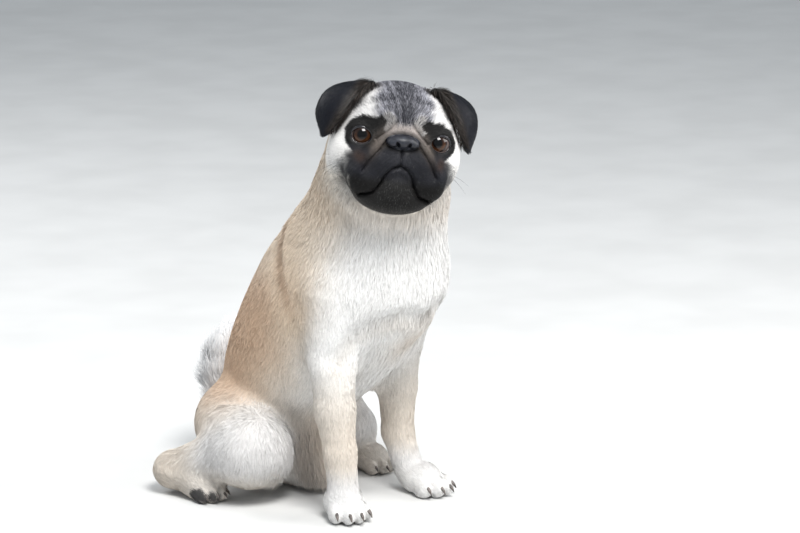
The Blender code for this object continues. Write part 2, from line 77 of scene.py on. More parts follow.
HEAD_VOXEL = 0.0009
BODY_VOXEL = 0.0024
NOSE_VOXEL = 0.00045
RANDOM = np.random.default_rng(7)


def in_head(p):
    """Points of the dog's frame in the head's own frame."""
    return (p - HEAD[:3, 3].astype(p.dtype)) @ HEAD[:3, :3].astype(p.dtype)


def from_head(local):
    """Points of the head's frame in the dog's frame."""
    return np.asarray(local) @ HEAD[:3, :3].T + HEAD[:3, 3]


def blend(a, b, width):
    """The smooth union of two distance fields."""
    near = np.maximum(width - np.abs(a - b), 0) / width
    return np.minimum(a, b) - near * near * width / 4


def carve(a, b, width):
    """Field a with b taken away, its edge rounded."""
    near = np.maximum(width - np.abs(a + b), 0) / width
    return np.maximum(a, -b) + near * near * width / 4


def length(v):
    return np.sqrt(np.einsum("ij,ij->i", v, v))


def unit(v):
    return v / np.maximum(length(v), 1e-9)[:, None]


def turned(p, centre, spin):
    """Points about a centre, turned back by degrees about x, y and z."""
    q = p - np.array(centre, p.dtype)
    if spin is None:
        return q
    x, y, z = (math.radians(s) for s in spin)
    turn = Matrix.Rotation(z, 3, "Z") @ Matrix.Rotation(y, 3, "Y") @ Matrix.Rotation(x, 3, "X")
    return q @ np.array(turn).astype(p.dtype)


def ellipsoid(p, centre, radii, spin=None):
    q = turned(p, centre, spin) / np.array(radii, p.dtype)
    outer = length(q)
    inner = length(q / np.array(radii, p.dtype))
    return outer * (outer - 1) / np.maximum(inner, 1e-6)


def limb(p, a, b, start, end):
    """A round cone from point a to point b, with a radius at each."""
    a, b = np.array(a, p.dtype), np.array(b, p.dtype)
    along = b - a
    t = np.clip((p - a) @ along / (along @ along), 0, 1)
    return length(p - a - t[:, None] * along) - (start + (end - start) * t)


def chain(p, points, radii, width):
    """Round cones through a row of points, blended into one limb."""
    d = limb(p, points[0], points[1], radii[0], radii[1])
    for i in range(1, len(points) - 1):
        d = blend(d, limb(p, points[i], points[i + 1], radii[i], radii[i + 1]), width)
    return d


def bent_line(p, points):
    """Distance in space from a bent line."""
    return chain(p, points, (0,) * len(points), 0.0001)


def path_distance(q, points):
    """Distance in the face's own x and z from a bent line."""
    best = np.full(len(q), 1, q.dtype)
    flat = q[:, [0, 2]]
    for a, b in zip(points[:-1], points[1:]):
        a, b = np.array(a, q.dtype), np.array(b, q.dtype)
        t = np.clip((flat - a) @ (b - a) / ((b - a) @ (b - a)), 0, 1)
        best = np.minimum(best, length(flat - a - t[:, None] * (b - a)))
    return best


def half_head(p):
    """Points in the head's own frame, its right half laid over the left one."""
    q = in_head(p)
    return np.column_stack([np.abs(q[:, 0]), q[:, 1], q[:, 2]])


def wave(distance, width):
    """A bell-shaped falloff for a ridge, a crease or a marking."""
    return np.exp(-((distance / width) ** 2))


def step(value, start, end):
    """Rises smoothly from 0 at start to 1 at end."""
    t = np.clip((value - start) / (end - start), 0, 1)
    return t * t * (3 - 2 * t)


# The face's lines, as x and z on its left half, in the head's frame.
NOSE_FOLD = ((0, 0.01), (0.009, 0.0085), (0.018, 0.0015), (0.026, -0.0085), (0.033, -0.0185),
             (0.038, -0.03))
UNDER_FOLD = ((0, 0.0045), (0.008, 0.0035), (0.0145, -0.001), (0.02, -0.009), (0.0275, -0.0185),
              (0.033, -0.029))
OVER_FOLD = ((0.0065, 0.017), (0.01, 0.011), (0.016, 0.0055), (0.0235, -0.0015))
BROW_LINE = ((0.0065, 0.017), (0.0075, 0.0225), (0.0115, 0.0265), (0.018, 0.0275))
UPPER_WRINKLE = ((0.012, 0.036), (0.022, 0.0335), (0.034, 0.03), (0.044, 0.023))
MOUTH_LINE = ((0, -0.0225), (0.0072, -0.0248), (0.0125, -0.0312), (0.0152, -0.0405), (0.0205, -0.0485),
              (0.031, -0.0515))
PHILTRUM = ((0, -0.0065), (0, -0.0225))

# Each ear as rows of points in millimetres, from its root on the skull, over
# the fold and down the flap to the tip: out from the middle, back and up.
EAR_ROWS = (
    ((23, 18, 40), (32, 26, 36), (41, 37, 26), (46, 46, 13)),
    ((27, 16, 49), (40, 23, 46), (55, 37, 39), (60, 47, 21)),
    ((33, 11, 46), (49, 15, 46), (70, 31, 38), (73, 39, 19)),
    ((41, 7, 36), (56, 8, 31), (74, 24, 26), (74, 31, 9)),
    ((50, 5, 21), (60, 7, 16), (70, 18, 10), (70, 24, 1)),
    ((57, 8, 4), (61, 10, 0), (65, 15, -7), (67, 18, -6)),
)
EAR_ROOT = [tuple(v / 1000 for v in row[0]) for row in EAR_ROWS]

# The head's masses, on its left half: centre, radii, turn and width of blend.
HEAD_MASSES = (
    ((0, 0.004, 0.014), (0.038, 0.024, 0.027), None, 0.012),
    ((0.039, 0.022, -0.016), (0.0215, 0.034, 0.031), None, 0.016),
    ((0, 0.046, -0.03), (0.053, 0.044, 0.036), None, 0.018),
    ((0, 0.006, -0.049), (0.037, 0.03, 0.0205), None, 0.008),
    ((0, -0.002, -0.02), (0.034, 0.025, 0.026), None, 0.01),
    ((0.0155, -0.0165, -0.02), (0.0175, 0.0138, 0.0165), None, 0.006),
    ((0.0275, -0.007, -0.0355), (0.018, 0.02, 0.019), (0, -20, 0), 0.007),
    ((0, -0.0095, -0.043), (0.018, 0.016, 0.019), None, 0.004),
    ((0.0125, -0.0085, 0.0185), (0.009, 0.008, 0.009), None, 0.005),
)

# The face's creases: line, depth and width.
CREASES = (
    (UNDER_FOLD, 0.0026, 0.0013),
    (OVER_FOLD, 0.0026, 0.0012),
    (BROW_LINE, 0.0015, 0.0014),
    (UPPER_WRINKLE, 0.001, 0.002),
    (MOUTH_LINE, 0.004, 0.0014),
    (PHILTRUM, 0.0018, 0.0008),
)


def nose_masses(h):
    nose = ellipsoid(h, (0, -0.0205, -0.0008), (0.0137, 0.0118, 0.0063))
    nose = blend(nose, ellipsoid(h, (0, -0.0222, 0.001), (0.0115, 0.0095, 0.0048)), 0.002)
    return blend(nose, ellipsoid(h, (0.009, -0.0225, -0.0024), (0.006, 0.0072, 0.0047)), 0.0025)


def nostrils(d, h):
    hole = ellipsoid(h, (0.0052, -0.0302, -0.0028), (0.0016, 0.005, 0.0026), (0, 25, 0))
    slit = ellipsoid(h, (0.0102, -0.0287, -0.0055), (0.0048, 0.004, 0.0008), (0, 8, 0))
    return carve(carve(d, hole, 0.001), slit, 0.001)


def eye_frame(h):
    return turned(h, (EYE_APART, EYE_FORWARD, 0), (0, 0, EYE_OUTWARD))


LID_WIDE, LID_HIGH = 0.0093, 0.0075


def eye_opening(d, h):
    """The lids: a shell over the eyeball, open in an almond."""
    e = eye_frame(h)
    lids = length((e - np.array((0, 0.0015, 0), e.dtype)) * np.array((1, 1, 1.06), e.dtype))
    d = blend(d, lids - (EYE_RADIUS + 0.0018), 0.007)
    almond = (np.sqrt((e[:, 0] / LID_WIDE) ** 2 + (e[:, 2] / LID_HIGH) ** 2) - 1) * LID_HIGH
    return carve(d, np.maximum(almond, e[:, 1] + 0.001), 0.0012)


def head_field(p, with_nose=True):
    h = half_head(p)
    d = ellipsoid(h, (0, 0.032, 0.0095), (0.0505, 0.05, 0.0405))
    for centre, radii, spin, width in HEAD_MASSES:
        d = blend(d, ellipsoid(h, centre, radii, spin), width)
    front = np.clip((0.018 - h[:, 1]) / 0.012, 0, 1)
    d = d - front * 0.0036 * wave(path_distance(h, NOSE_FOLD), 0.0052)
    if with_nose:
        d = nostrils(blend(d, nose_masses(h), 0.0015), h)
    for line, depth, width in CREASES:
        d = d + front * depth * wave(path_distance(h, line), width)
    return eye_opening(d, h)


# The trunk's masses, in the dog's frame: centre, radii, turn and width of blend.
TRUNK_MASSES = (
    ((0, 0.118, 0.122), (0.071, 0.092, 0.066), (-58, 0, 0), 0.03),
    ((0, 0.142, 0.053), (0.054, 0.058, 0.056), None, 0.03),
    ((-0.004, 0.102, 0.036), (0.04, 0.05, 0.037), None, 0.02),
    ((0, 0.004, 0.216), (0.064, 0.058, 0.062), None, 0.016),
)
NECK = ((-0.013, -0.014, 0.338), (-0.004, 0.000, 0.3), (0.000, 0.022, 0.255))
NECK_RADII = (0.053, 0.0565, 0.064)

# Folds of the coat under the chest and above the thigh: line, depth and width.
FOLDS = (
    (((0.069, -0.006, 0.15), (0.0566, -0.018, 0.172), (0.0402, -0.033, 0.185), (0.0229, -0.045, 0.191),
      (0.003, -0.048, 0.185)), 0.0085, 0.008),
    (((0.0865, 0.1303, 0.0924), (0.08, 0.111, 0.095), (0.0682, 0.0961, 0.094), (0.0612, 0.0885, 0.09),
      (0.0539, 0.0827, 0.0787)), 0.004, 0.0045),
    (((0.03, 0.092, 0.28), (0.0536, 0.0825, 0.2568), (0.0644, 0.0766, 0.2423), (0.0731, 0.0662, 0.2264)),
     0.003, 0.0045),
)


def trunk_field(p):
    d = ellipsoid(p, (0, 0.062, 0.188), (0.079, 0.114, 0.084), (-52, 0, 0))
    for centre, radii, spin, width in TRUNK_MASSES:
        d = blend(d, ellipsoid(p, centre, radii, spin), width)
    return blend(d, chain(p, NECK, NECK_RADII, 0.03), 0.035)


# Each foreleg from shoulder to wrist, with its paw's place and turn outward.
FORELEGS = {
    "right": (((-0.044, 0.014, 0.205), (-0.055, 0.014, 0.145), (-0.058, 0.008, 0.1),
               (-0.058, 0.001, 0.06), (-0.059, -0.004, 0.022)), (-0.061, -0.009), -24),
    "left": (((0.044, 0.016, 0.205), (0.048, 0.03, 0.145), (0.048, 0.033, 0.1),
              (0.048, 0.032, 0.055), (0.049, 0.02, 0.024)), (0.052, -0.001), 0),
}
FORELEG_RADII = (0.038, 0.0235, 0.02, 0.0155, 0.015)

# Each hind leg's hip, knee, knee and shin radii, hock, and its paw's place.
HINDLEGS = {
    "right": ((-0.054, 0.144, 0.062), (-0.084, 0.095, 0.051), (0.038, 0.03),
              (-0.114, 0.172, 0.022), (-0.11, 0.132)),
    "left": ((0.054, 0.15, 0.062), (0.068, 0.122, 0.036), (0.029, 0.024),
             (0.086, 0.172, 0.022), (0.071, 0.088)),
}
HIP_RADIUS, HOCK_RADIUS = 0.043, 0.0175
HINDPAW_SIZE = 0.84

# The toes of a paw: across, forward of its middle, and how far each turns out.
TOES = ((-0.014, -0.0085, -10), (-0.005, -0.016, -3), (0.005, -0.016, 3), (0.014, -0.0085, 10))
TAIL = ((0.000, 0.184, 0.062), (-0.002, 0.206, 0.067), (-0.003, 0.22, 0.081), (0.000, 0.223, 0.098),
        (0.013, 0.219, 0.111), (0.03, 0.213, 0.106), (0.04, 0.212, 0.088))
TAIL_RADII = (0.02, 0.017, 0.0145, 0.0135, 0.0125, 0.011, 0.008)


def in_paw(p, at, turn):
    return turned(p, (at[0], at[1], 0), (0, 0, turn))


def paw_field(p, at, turn, size=1):
    """Four toes and the pad behind them."""
    q = in_paw(p, at, turn) / size
    d = ellipsoid(q, (0, 0.006, 0.014), (0.019, 0.0225, 0.0165))
    for x, y, spread in TOES:
        d = blend(d, ellipsoid(q, (x, y, 0.0088), (0.0066, 0.013, 0.0094), (0, 0, spread)), 0.003)
    return d * size


def foreleg_field(p, side):
    points, paw, turn = FORELEGS[side]
    return blend(chain(p, points, FORELEG_RADII, 0.006), paw_field(p, paw, turn), 0.007)


def hindleg_field(p, side):
    hip, knee, (knee_radius, shin_radius), hock, paw = HINDLEGS[side]
    d = limb(p, hip, knee, HIP_RADIUS, knee_radius)
    d = blend(d, limb(p, knee, hock, shin_radius, HOCK_RADIUS), 0.012)
    d = blend(d, limb(p, hock, (*paw, 0.0135), HOCK_RADIUS, 0.013), 0.006)
    return blend(d, paw_field(p, paw, 0, HINDPAW_SIZE), 0.006)


def tail_field(p):
    return chain(p, TAIL, TAIL_RADII, 0.006)


# Each part that joins the trunk: its field, the ball it lies in, and its blend.
MEMBERS = {
    "foreleg_right": (lambda p: foreleg_field(p, "right"), (-0.054, 0.005, 0.11), 0.165, 0.014),
    "hindleg_right": (lambda p: hindleg_field(p, "right"), (-0.085, 0.13, 0.045), 0.115, 0.016),
    "foreleg_left": (lambda p: foreleg_field(p, "left"), (0.049, 0.015, 0.11), 0.165, 0.014),
    "hindleg_left": (lambda p: hindleg_field(p, "left"), (0.07, 0.13, 0.045), 0.115, 0.016),
    "head": (head_field, tuple(from_head((0, 0.022, -0.012))), 0.1, 0.007),
    "tail": (tail_field, (0.015, 0.212, 0.095), 0.085, 0.008),
}


def inside_ball(p, centre, radius):
    return length(p - np.array(centre, p.dtype)) < radius


def flesh(p):
    """Distance from the coat's outer form, exact near it."""
    d = trunk_field(p)
    for field, centre, radius, width in MEMBERS.values():
        near = inside_ball(p, centre, radius)
        if near.any():
            d[near] = blend(d[near], field(p[near]), width)
    both = np.column_stack([np.abs(p[:, 0]), p[:, 1], p[:, 2]])
    for line, depth, width in FOLDS:
        d = d + depth * wave(bent_line(both, line), width)
    return d


def coat_depth(p):
    """How far the skin lies under the tips of the coat."""
    h = half_head(p)
    depth = 0.0014 + 0.001 * step(p[:, 2], 0.05, 0.13)
    depth = depth - 0.0007 * step(-p[:, 2], -0.035, -0.015)
    near_neck = step(-length(h - np.array((0, 0.02, 0), p.dtype)), -0.11, -0.07)
    depth += 0.0012 * step(p[:, 2], 0.19, 0.25) * near_neck
    near_head = step(-length(h - np.array((0, 0.02, -0.008), p.dtype)), -0.082, -0.066)
    depth = depth + (0.0012 - depth) * near_head
    face = near_head * step(-h[:, 1], -0.022, -0.004)
    return depth + (0.0005 - depth) * face


def skin_field(p):
    h = half_head(p)
    d = flesh(p) + coat_depth(p)
    nose = ellipsoid(h, (0, -0.0225, -0.0008), (0.0139, 0.0105, 0.0066))
    return np.maximum(carve(d, nose, 0.0004), -p[:, 2])


# Where the two halves of the skin meet, in the head's frame.
CUT_AT, CUT_UP = (0, 0.036, -0.07), (0, -0.62, 0.7846)


def grown_mesh(field, low, high, voxel):
    """Vertices and quads where the field is zero, sampled only near there."""
    low = np.array(low, np.float32)
    coarse = [int(math.ceil((h - l) / voxel / 4)) + 1 for l, h in zip(low, high)]
    index = np.stack(np.meshgrid(*[np.arange(c) for c in coarse], indexing="ij"), -1).reshape(-1, 3)
    rough = field((low + (index * 4 + 1.5) * voxel).astype(np.float32)).reshape(coarse)
    values = np.repeat(np.repeat(np.repeat(rough, 4, 0), 4, 1), 4, 2)
    reach = 4.6 * voxel
    near = np.argwhere(np.abs(values) < reach)
    values = np.where(values > 0, reach, -reach).astype(np.float32)
    values[tuple(near.T)] = field((low + near * voxel).astype(np.float32))
    grid = openvdb.FloatGrid()
    grid.background = reach
    grid.copyFromArray(values)
    points, quads = grid.convertToQuads(isovalue=0)
    return points * voxel + low, quads


def placed(name, mesh):
    obj = bpy.data.objects.new(name, mesh)
    bpy.context.scene.collection.objects.link(obj)
    return obj


def mesh_of(name, points, faces):
    """A mesh from an array of points and one of triangles or quads."""
    faces = np.ascontiguousarray(faces, np.int32)
    mesh = bpy.data.meshes.new(name)
    mesh.vertices.add(len(points))
    mesh.vertices.foreach_set("co", np.ascontiguousarray(points, np.float32).ravel())
    mesh.loops.add(faces.size)
    mesh.loops.foreach_set("vertex_index", faces.ravel())
    mesh.polygons.add(len(faces))
    mesh.polygons.foreach_set("loop_start", np.arange(0, faces.size, faces.shape[1], dtype=np.int32))
    mesh.polygons.foreach_set("use_smooth", np.ones(len(faces), bool))
    mesh.update(calc_edges=True)
    return mesh


def points_of(mesh):
    points = np.empty(len(mesh.vertices) * 3, np.float32)
    mesh.vertices.foreach_get("co", points)
    return points.reshape(-1, 3)


def painted(mesh, colours):
    attribute = mesh.color_attributes.new("markings", "FLOAT_COLOR", "POINT")
    rgba = np.ones((len(mesh.vertices), 4), np.float32)
    rgba[:, :3] = colours
    attribute.data.foreach_set("color", rgba.ravel())


def make_skin():
    """The head's fine skin and the body's, sewn together where they meet."""
    middle = from_head((0, 0.03, -0.01))
    plane_at = from_head(CUT_AT)
    plane_up = HEAD[:3, :3] @ np.array(CUT_UP)
    halves = (
        (middle - 0.104, middle + 0.104, HEAD_VOXEL, 1),
        (np.array((-0.16, -0.1, -0.008)), np.array((0.14, 0.26, 0.42)), BODY_VOXEL, -1),
    )
    bm = bmesh.new()
    for low, high, voxel, sign in halves:
        def half(p, sign=sign):
            beyond = (p - plane_at.astype(p.dtype)) @ (plane_up * sign).astype(p.dtype)
            return np.maximum(skin_field(p), -0.008 - beyond)
        points, quads = grown_mesh(half, low, high, voxel)
        part = bmesh.new()
        mesh = mesh_of("half", points, quads)
        part.from_mesh(mesh)
        bmesh.ops.bisect_plane(
            part, geom=part.verts[:] + part.edges[:] + part.faces[:], dist=1e-6,
            plane_co=plane_at, plane_no=plane_up * -sign, clear_outer=True)
        part.to_mesh(mesh)
        part.free()
        bm.from_mesh(mesh)
        bpy.data.meshes.remove(mesh)
    rim = [edge for edge in bm.edges if edge.is_boundary]
    bmesh.ops.bridge_loops(bm, edges=rim)
    bmesh.ops.triangulate(bm, faces=[face for face in bm.faces if len(face.verts) > 4])
    mesh = bpy.data.meshes.new("skin")
    bm.to_mesh(mesh)
    bm.free()
    mesh.shade_smooth()
    return placed("skin", mesh)


# Colours of the coat and the bare skin, as linear light.
WHITE = (0.88, 0.87, 0.855)
PALE = (0.7, 0.685, 0.675)
PLUME = (0.93, 0.93, 0.935)
CREAM = (0.78, 0.72, 0.64)
LEG = (0.69, 0.645, 0.59)
WARM = (0.69, 0.56, 0.425)
FAWN = (0.58, 0.41, 0.285)
RUST = (0.37, 0.245, 0.165)
# Painted shade under the chest's fold, over the tan the hair has there.
SHADE = (0.5, 0.42, 0.33)
GROIN = (0.13, 0.095, 0.072)
GREY = (0.3, 0.3, 0.335)
SILVER = (0.06, 0.06, 0.058)
ROLL = (0.38, 0.365, 0.35)
TAUPE = (0.115, 0.095, 0.082)
ROPE = (0.34, 0.3, 0.28)
STAIN = (0.06, 0.032, 0.02)
UMBER = (0.024, 0.019, 0.016)
SABLE = (0.013, 0.0135, 0.018)
BLACK = (0.005, 0.0046, 0.0045)


def noise(p, size, seed):
    """Soft noise from -1 to 1, its lumps about the given size."""
    q = p / size + seed * 17.13
    cell = np.floor(q).astype(np.int64)
    f = q - cell
    f = f * f * (3 - 2 * f)
    total = np.zeros(len(p), np.float32)
    for corner in range(8):
        ahead = np.array((corner & 1, (corner >> 1) & 1, corner >> 2))
        x, y, z = (cell + ahead).T
        key = x * 73856093 ^ y * 19349663 ^ z * 83492791
        key = (key ^ (key >> 13)) * 1274126177 & 0xFFFFFFFF
        value = ((key ^ (key >> 16)) & 0xFFFF) / 32767.5 - 1
        x, y, z = np.where(ahead, f, 1 - f).T
        total += (value * (x * y * z)).astype(np.float32)
    return total


def coloured(base, *layers):
    """A base colour under layers, each a colour and its share at every point."""
    base = np.array(base)
    for tint, share in layers:
        base = base + (tint - base) * share[:, None]
    return base


def spot(p, centre, width, stretch=1):
    """A round marking that fades outward, stretched along the axes where given."""
    return wave(length((p - np.array(centre)) / np.array(stretch)), width)


# A darker streak that runs down from behind the neck over the shoulder: partly the coat's darker hair, partly
# painted shade of the skin fold along it.
STREAK = ((-0.034, 0.09, 0.276), (-0.0536, 0.0825, 0.2568), (-0.0644, 0.0766, 0.2423),
          (-0.0731, 0.0662, 0.2264), (-0.0773, 0.0551, 0.21), (-0.0775, 0.046, 0.186))


# How far back the pale front of the trunk reaches at each height.
FRONT_HEIGHTS = (0.03, 0.1, 0.15, 0.2, 0.25, 0.3)
FRONT_REACH = (0.13, 0.09, 0.06, 0.03, 0.02, 0.01)
PADS = ((-0.126, 0.13, 0.007), (-0.1245, 0.115, 0.007), (-0.116, 0.109, 0.007))
# The groin's dark patch: partly darker hair, partly painted shade in the hollow between belly and thigh.
GROIN_LINE = ((-0.051, 0.073, 0.077), (-0.039, 0.079, 0.057), (-0.0375, 0.077, 0.032))
# The chest's fold line, 5 mm lower: the line along which shade is painted under the fold.
CHEST_FOLD = np.array(FOLDS[0][0]) - (0, 0, 0.005)


def body_colour(p):
    """White in front and tan behind, with the darker streak (partly painted shade of a skin fold), and
    painted shade in the throat's crease, under the chest's fold and between the forelegs.
    """
    side = np.column_stack([-np.abs(p[:, 0]), p[:, 1], p[:, 2]])
    x, y, z = side.T
    lumps = 0.006 * noise(p, 0.03, 1)
    rear = y - np.interp(z, FRONT_HEIGHTS, FRONT_REACH) + lumps
    low = step(-z - lumps, -0.245, -0.18)
    spine = step(x, -0.045, -0.015) * step(y, 0.05, 0.09)
    streak = bent_line(side, STREAK)
    fold = bent_line(side * (-1, 1, 1), CHEST_FOLD)
    return coloured(
        WHITE,
        (CREAM, step(rear, -0.05, 0.01)),
        (WARM, 0.7 * step(rear, -0.03, 0.03)),
        (FAWN, 0.95 * step(rear, -0.025, 0.055) * low),
        (FAWN, 0.6 * spine * step(-z, -0.3, -0.2)),
        # The streak: partly darker hair, partly painted shade of the fold along it.
        (WARM, 0.8 * wave(streak, 0.024) * step(-y, -0.105, -0.06)),
        (RUST, 0.9 * wave(streak + 0.2 * lumps, 0.0068) * step(z, 0.175, 0.215)),
        (CREAM, 0.7 * step(-z, -0.1, -0.07) * step(-x, 0.045, 0.075)),
        # Painted shade along the crease across the throat, below the chin.
        (WARM, 0.35 * wave(z - 0.292, 0.02) * step(-y, -0.06, 0)),
        (WARM, 0.6 * spot(p, (-0.022, 0.062, 0.05), 0.03, (1, 1, 1.2))),
        # Painted shade: warmer in the recess between the forelegs, below the chest.
        (WARM, 0.55 * spot(p, (0.018, -0.036, 0.15), 0.03, (1.1, 1, 0.9))),
        # Painted shade under the chest's fold, over the tan the hair has there.
        (SHADE, 0.6 * wave(fold, 0.0075)),
    )


def foreleg_colour(p):
    """Cream, as the body is at the shoulder, and white down to the paw."""
    z = p[:, 2]
    return coloured(
        LEG,
        (WARM, 0.3 * wave(z - 0.07, 0.035)),
        (body_colour(p), step(z, 0.105, 0.165)),
        (PALE, step(-z, -0.055, -0.03)),
        (WHITE, 0.9 * step(-z, -0.032, -0.015)),
    )


def hindleg_colour(p):
    """Pale in front, as the body is at the hip, with black pads on the right paw."""
    y, z = p[:, 1], p[:, 2]
    upper = step(z + 0.35 * (y - 0.12) + 0.004 * noise(p, 0.02, 2), 0.052, 0.104)
    pads = bent_line(p, PADS) + 0.003 * noise(p, 0.004, 8)
    return coloured(
        LEG,
        (PALE, step(z, 0.02, 0.045) * step(-y, -0.155, -0.12)),
        (WARM, 0.3 * step(y, 0.12, 0.17)),
        (body_colour(p), 0.8 * upper),
        (SABLE, 0.9 * step(-pads, -0.0085, -0.0045)),
    )


def dark_ring(x, z):
    """Distance from the black round the eye, drawn up to the inner brow."""
    q = np.column_stack([x, 0 * x, z])
    round_eye = ellipsoid(q, (0.0358, 0, 0.0008), (0.0145, 1, 0.0154))
    brow = limb(q, (0.033, 0, 0.0098), (0.0207, 0, 0.014), 0.0066, 0.0052)
    below = limb(q, (0.0355, 0, -0.009), (0.0325, 0, -0.02), 0.008, 0.006)
    corner = limb(q, (0.027, 0, 0.003), (0.0192, 0, 0.0058), 0.0055, 0.0026)
    return blend(blend(blend(round_eye, below, 0.003), brow, 0.005), corner, 0.003)


def head_colour(p):
    """Colours over the head, with painted shade under the jaw and in the brow and nose creases and a painted
    sheen on the muzzle pads, and the shares of black and of silver hairs.
    """
    h = half_head(p)
    x, y, z = h.T
    jitter = 0.0011 * noise(p, 0.006, 3) + 0.0006 * noise(p, 0.0025, 4)
    front = step(-y, -0.05, -0.03)
    arch = np.interp(z, (0.01, 0.02, 0.034, 0.05), (0.015, 0.025, 0.027, 0.023))
    crown = step(z, 0.008, 0.018) * step(arch - x - 2 * jitter, -0.004, 0.006)
    thumb = wave(x + jitter, 0.0075 + 0.005 * step(z, 0.014, 0.034)) * step(z, 0.008, 0.018)
    wrinkle = wave(path_distance(h, UPPER_WRINKLE) + jitter, 0.003)
    roll = step(-np.hypot((x - 0.0145) / 0.0052, (z - 0.016) / 0.0072), -1.25, -0.8)
    muzzle = np.hypot(x / 0.0484, (z + 0.036) / 0.0365)
    haze = step(-muzzle, -1.3, -1.02) * step(-y, -0.046, -0.026)
    haze = haze * step(-z, 0.01, 0.02) * step(z, -0.066, -0.054)
    pepper = (0.42 * crown + 0.5 * thumb + 0.35 * wrinkle) * (1 - 0.5 * roll) + 0.22 * roll
    pepper = pepper * front + 0.4 * haze

    around_nose = step(-np.hypot(x / 0.0185, (z + 0.002) / 0.0105), -1.1, -0.8)
    under = 0.018 * step(-z, 0.056, 0.068)
    mask = step(-muzzle - jitter * 45, -1.17, -0.9) * step(-y - under, -0.042, -0.022)
    mask = np.maximum(mask, around_nose * front)
    ring = step(-dark_ring(x, z) - jitter * 0.9, -0.0009, 0.0009) * front
    # Black along the brow line and the fold over the nose: painted shade in these creases.
    crease = np.maximum(
        0.75 * wave(path_distance(h, BROW_LINE), 0.0009), wave(path_distance(h, OVER_FOLD), 0.0013))
    dark = np.maximum(np.maximum(mask, ring), 0.9 * crease * front)
    # The muzzle's pads are painted a lighter, bluish black than the chin: painted sheen.
    pad = step(-z, 0.006, 0.012) * step(z, -0.04, -0.03)
    fold = wave(path_distance(h, NOSE_FOLD), 0.0052) * step(-x, -0.034, -0.021) * front
    top = step(z, -0.006, 0.008) * step(-x, -0.02, -0.006)
    root = wave(bent_line(h, EAR_ROOT), 0.006)
    colour = coloured(
        CREAM,
        (WHITE, 0.85 * front * step(z, -0.045, -0.03)),
        (WARM, 0.45 * step(y, 0.03, 0.08)),
        # Painted shade: warmer under the jaw.
        (WARM, 0.45 * step(-z, 0.045, 0.066)),
        (PALE, step(z, 0.03, 0.04) * step(x, 0.016, 0.028)),
        (PALE, 0.8 * front * step(z, -0.002, 0.016)),
        (GREY, crown),
        (ROLL, 0.9 * roll),
        (BLACK, dark),
        # Painted sheen on the muzzle pads.
        (SABLE, dark * pad),
        (STAIN, 0.55 * wave(np.hypot(x - 0.0365, z + 0.0175), 0.0048) * front),
        (TAUPE, 0.95 * fold),
        (ROPE, fold * top),
        (UMBER, np.clip(1.3 * root, 0, 1)),
    )
    grizzled = 0.09 * step(-z, 0.026, 0.04) * step(-x, -0.022, -0.012) + 0.01
    silver = mask * grizzled * (1 - around_nose)
    return colour, np.clip(pepper, 0, 0.96) * (1 - dark), silver


def part_weights(p):
    """How much each part of the dog owns a point."""
    near = {"trunk": trunk_field(p)}
    for name, (field, centre, radius, _) in MEMBERS.items():
        inside = inside_ball(p, centre, radius)
        d = np.full(len(p), 0.2, np.float32)
        if inside.any():
            d[inside] = field(p[inside])
        near[name] = d
    least = np.min(np.column_stack(list(near.values())), axis=1)
    weights = {name: np.exp(-(d - least) / 0.006) for name, d in near.items()}
    total = sum(weights.values())
    return {name: weight / total for name, weight in weights.items()}


def markings(p):
    """The coat's colour at each point, its shares of black and silver hairs, and the parts' weights."""
    weights = part_weights(p)
    face, pepper, silver = head_colour(p)
    colour = weights["trunk"][:, None] * body_colour(p) + weights["head"][:, None] * face
    colour += (weights["foreleg_right"] + weights["foreleg_left"])[:, None] * foreleg_colour(p)
    colour += (weights["hindleg_right"] + weights["hindleg_left"])[:, None] * hindleg_colour(p)
    colour += weights["tail"][:, None] * np.array(PLUME)
    # A dark patch in the groin: partly darker hair, partly painted shade in the hollow between belly and
    # thigh.
    groin = wave(bent_line(p, GROIN_LINE), 0.012) * (1 - weights["foreleg_right"])
    colour = coloured(colour, (GROIN, 0.65 * groin))
    return colour, pepper * weights["head"], silver * weights["head"], weights


# The way the hair lies on each leg, and on its paw.
LEG_HAIR = (
    ("foreleg_", (0, 0.05, -1), (0, -0.85, -0.45)),
    ("hindleg_", (0, 0.35, -0.95), (0, -0.9, -0.3)),
)


def flow_of(p, weights):
    """The way the hair lies at each point."""
    front = step(-p[:, 1], -0.05, 0)[:, None]
    foot = step(-p[:, 2], -0.04, -0.02)[:, None]
    chest = np.column_stack([p[:, 0] * 6, 0 * p[:, 1], -np.ones(len(p))])
    ways = {
        "head": unit(in_head(p) - (0, -0.034, -0.004)) @ HEAD[:3, :3].T,
        "trunk": np.array((0, 0.42, -0.9)) * (1 - front) + chest * front,
        "tail": tail_way(p),
    }
    for side in ("right", "left"):
        for leg, down, ahead in LEG_HAIR:
            ways[leg + side] = down * (1 - foot) + ahead * foot
    total = sum(weights[name][:, None] * way for name, way in ways.items())
    wander = np.column_stack([noise(p, 0.022, 5 + i) for i in range(3)])
    calm = weights["head"][:, None] * 0.1
    return unit(total + (0.21 - calm) * wander)


def tail_way(p):
    """Along the tail to its tip, and a little outward and up."""
    line = np.array(TAIL)
    away = np.stack([length(p - point) for point in line])
    nearest = np.clip(np.argmin(away, axis=0), 0, len(line) - 2)
    along = unit(line[nearest + 1] - line[nearest])
    outward = unit(p - line[nearest])
    return unit(0.5 * along + 0.35 * outward + (-0.15, 0.1, 1.2))


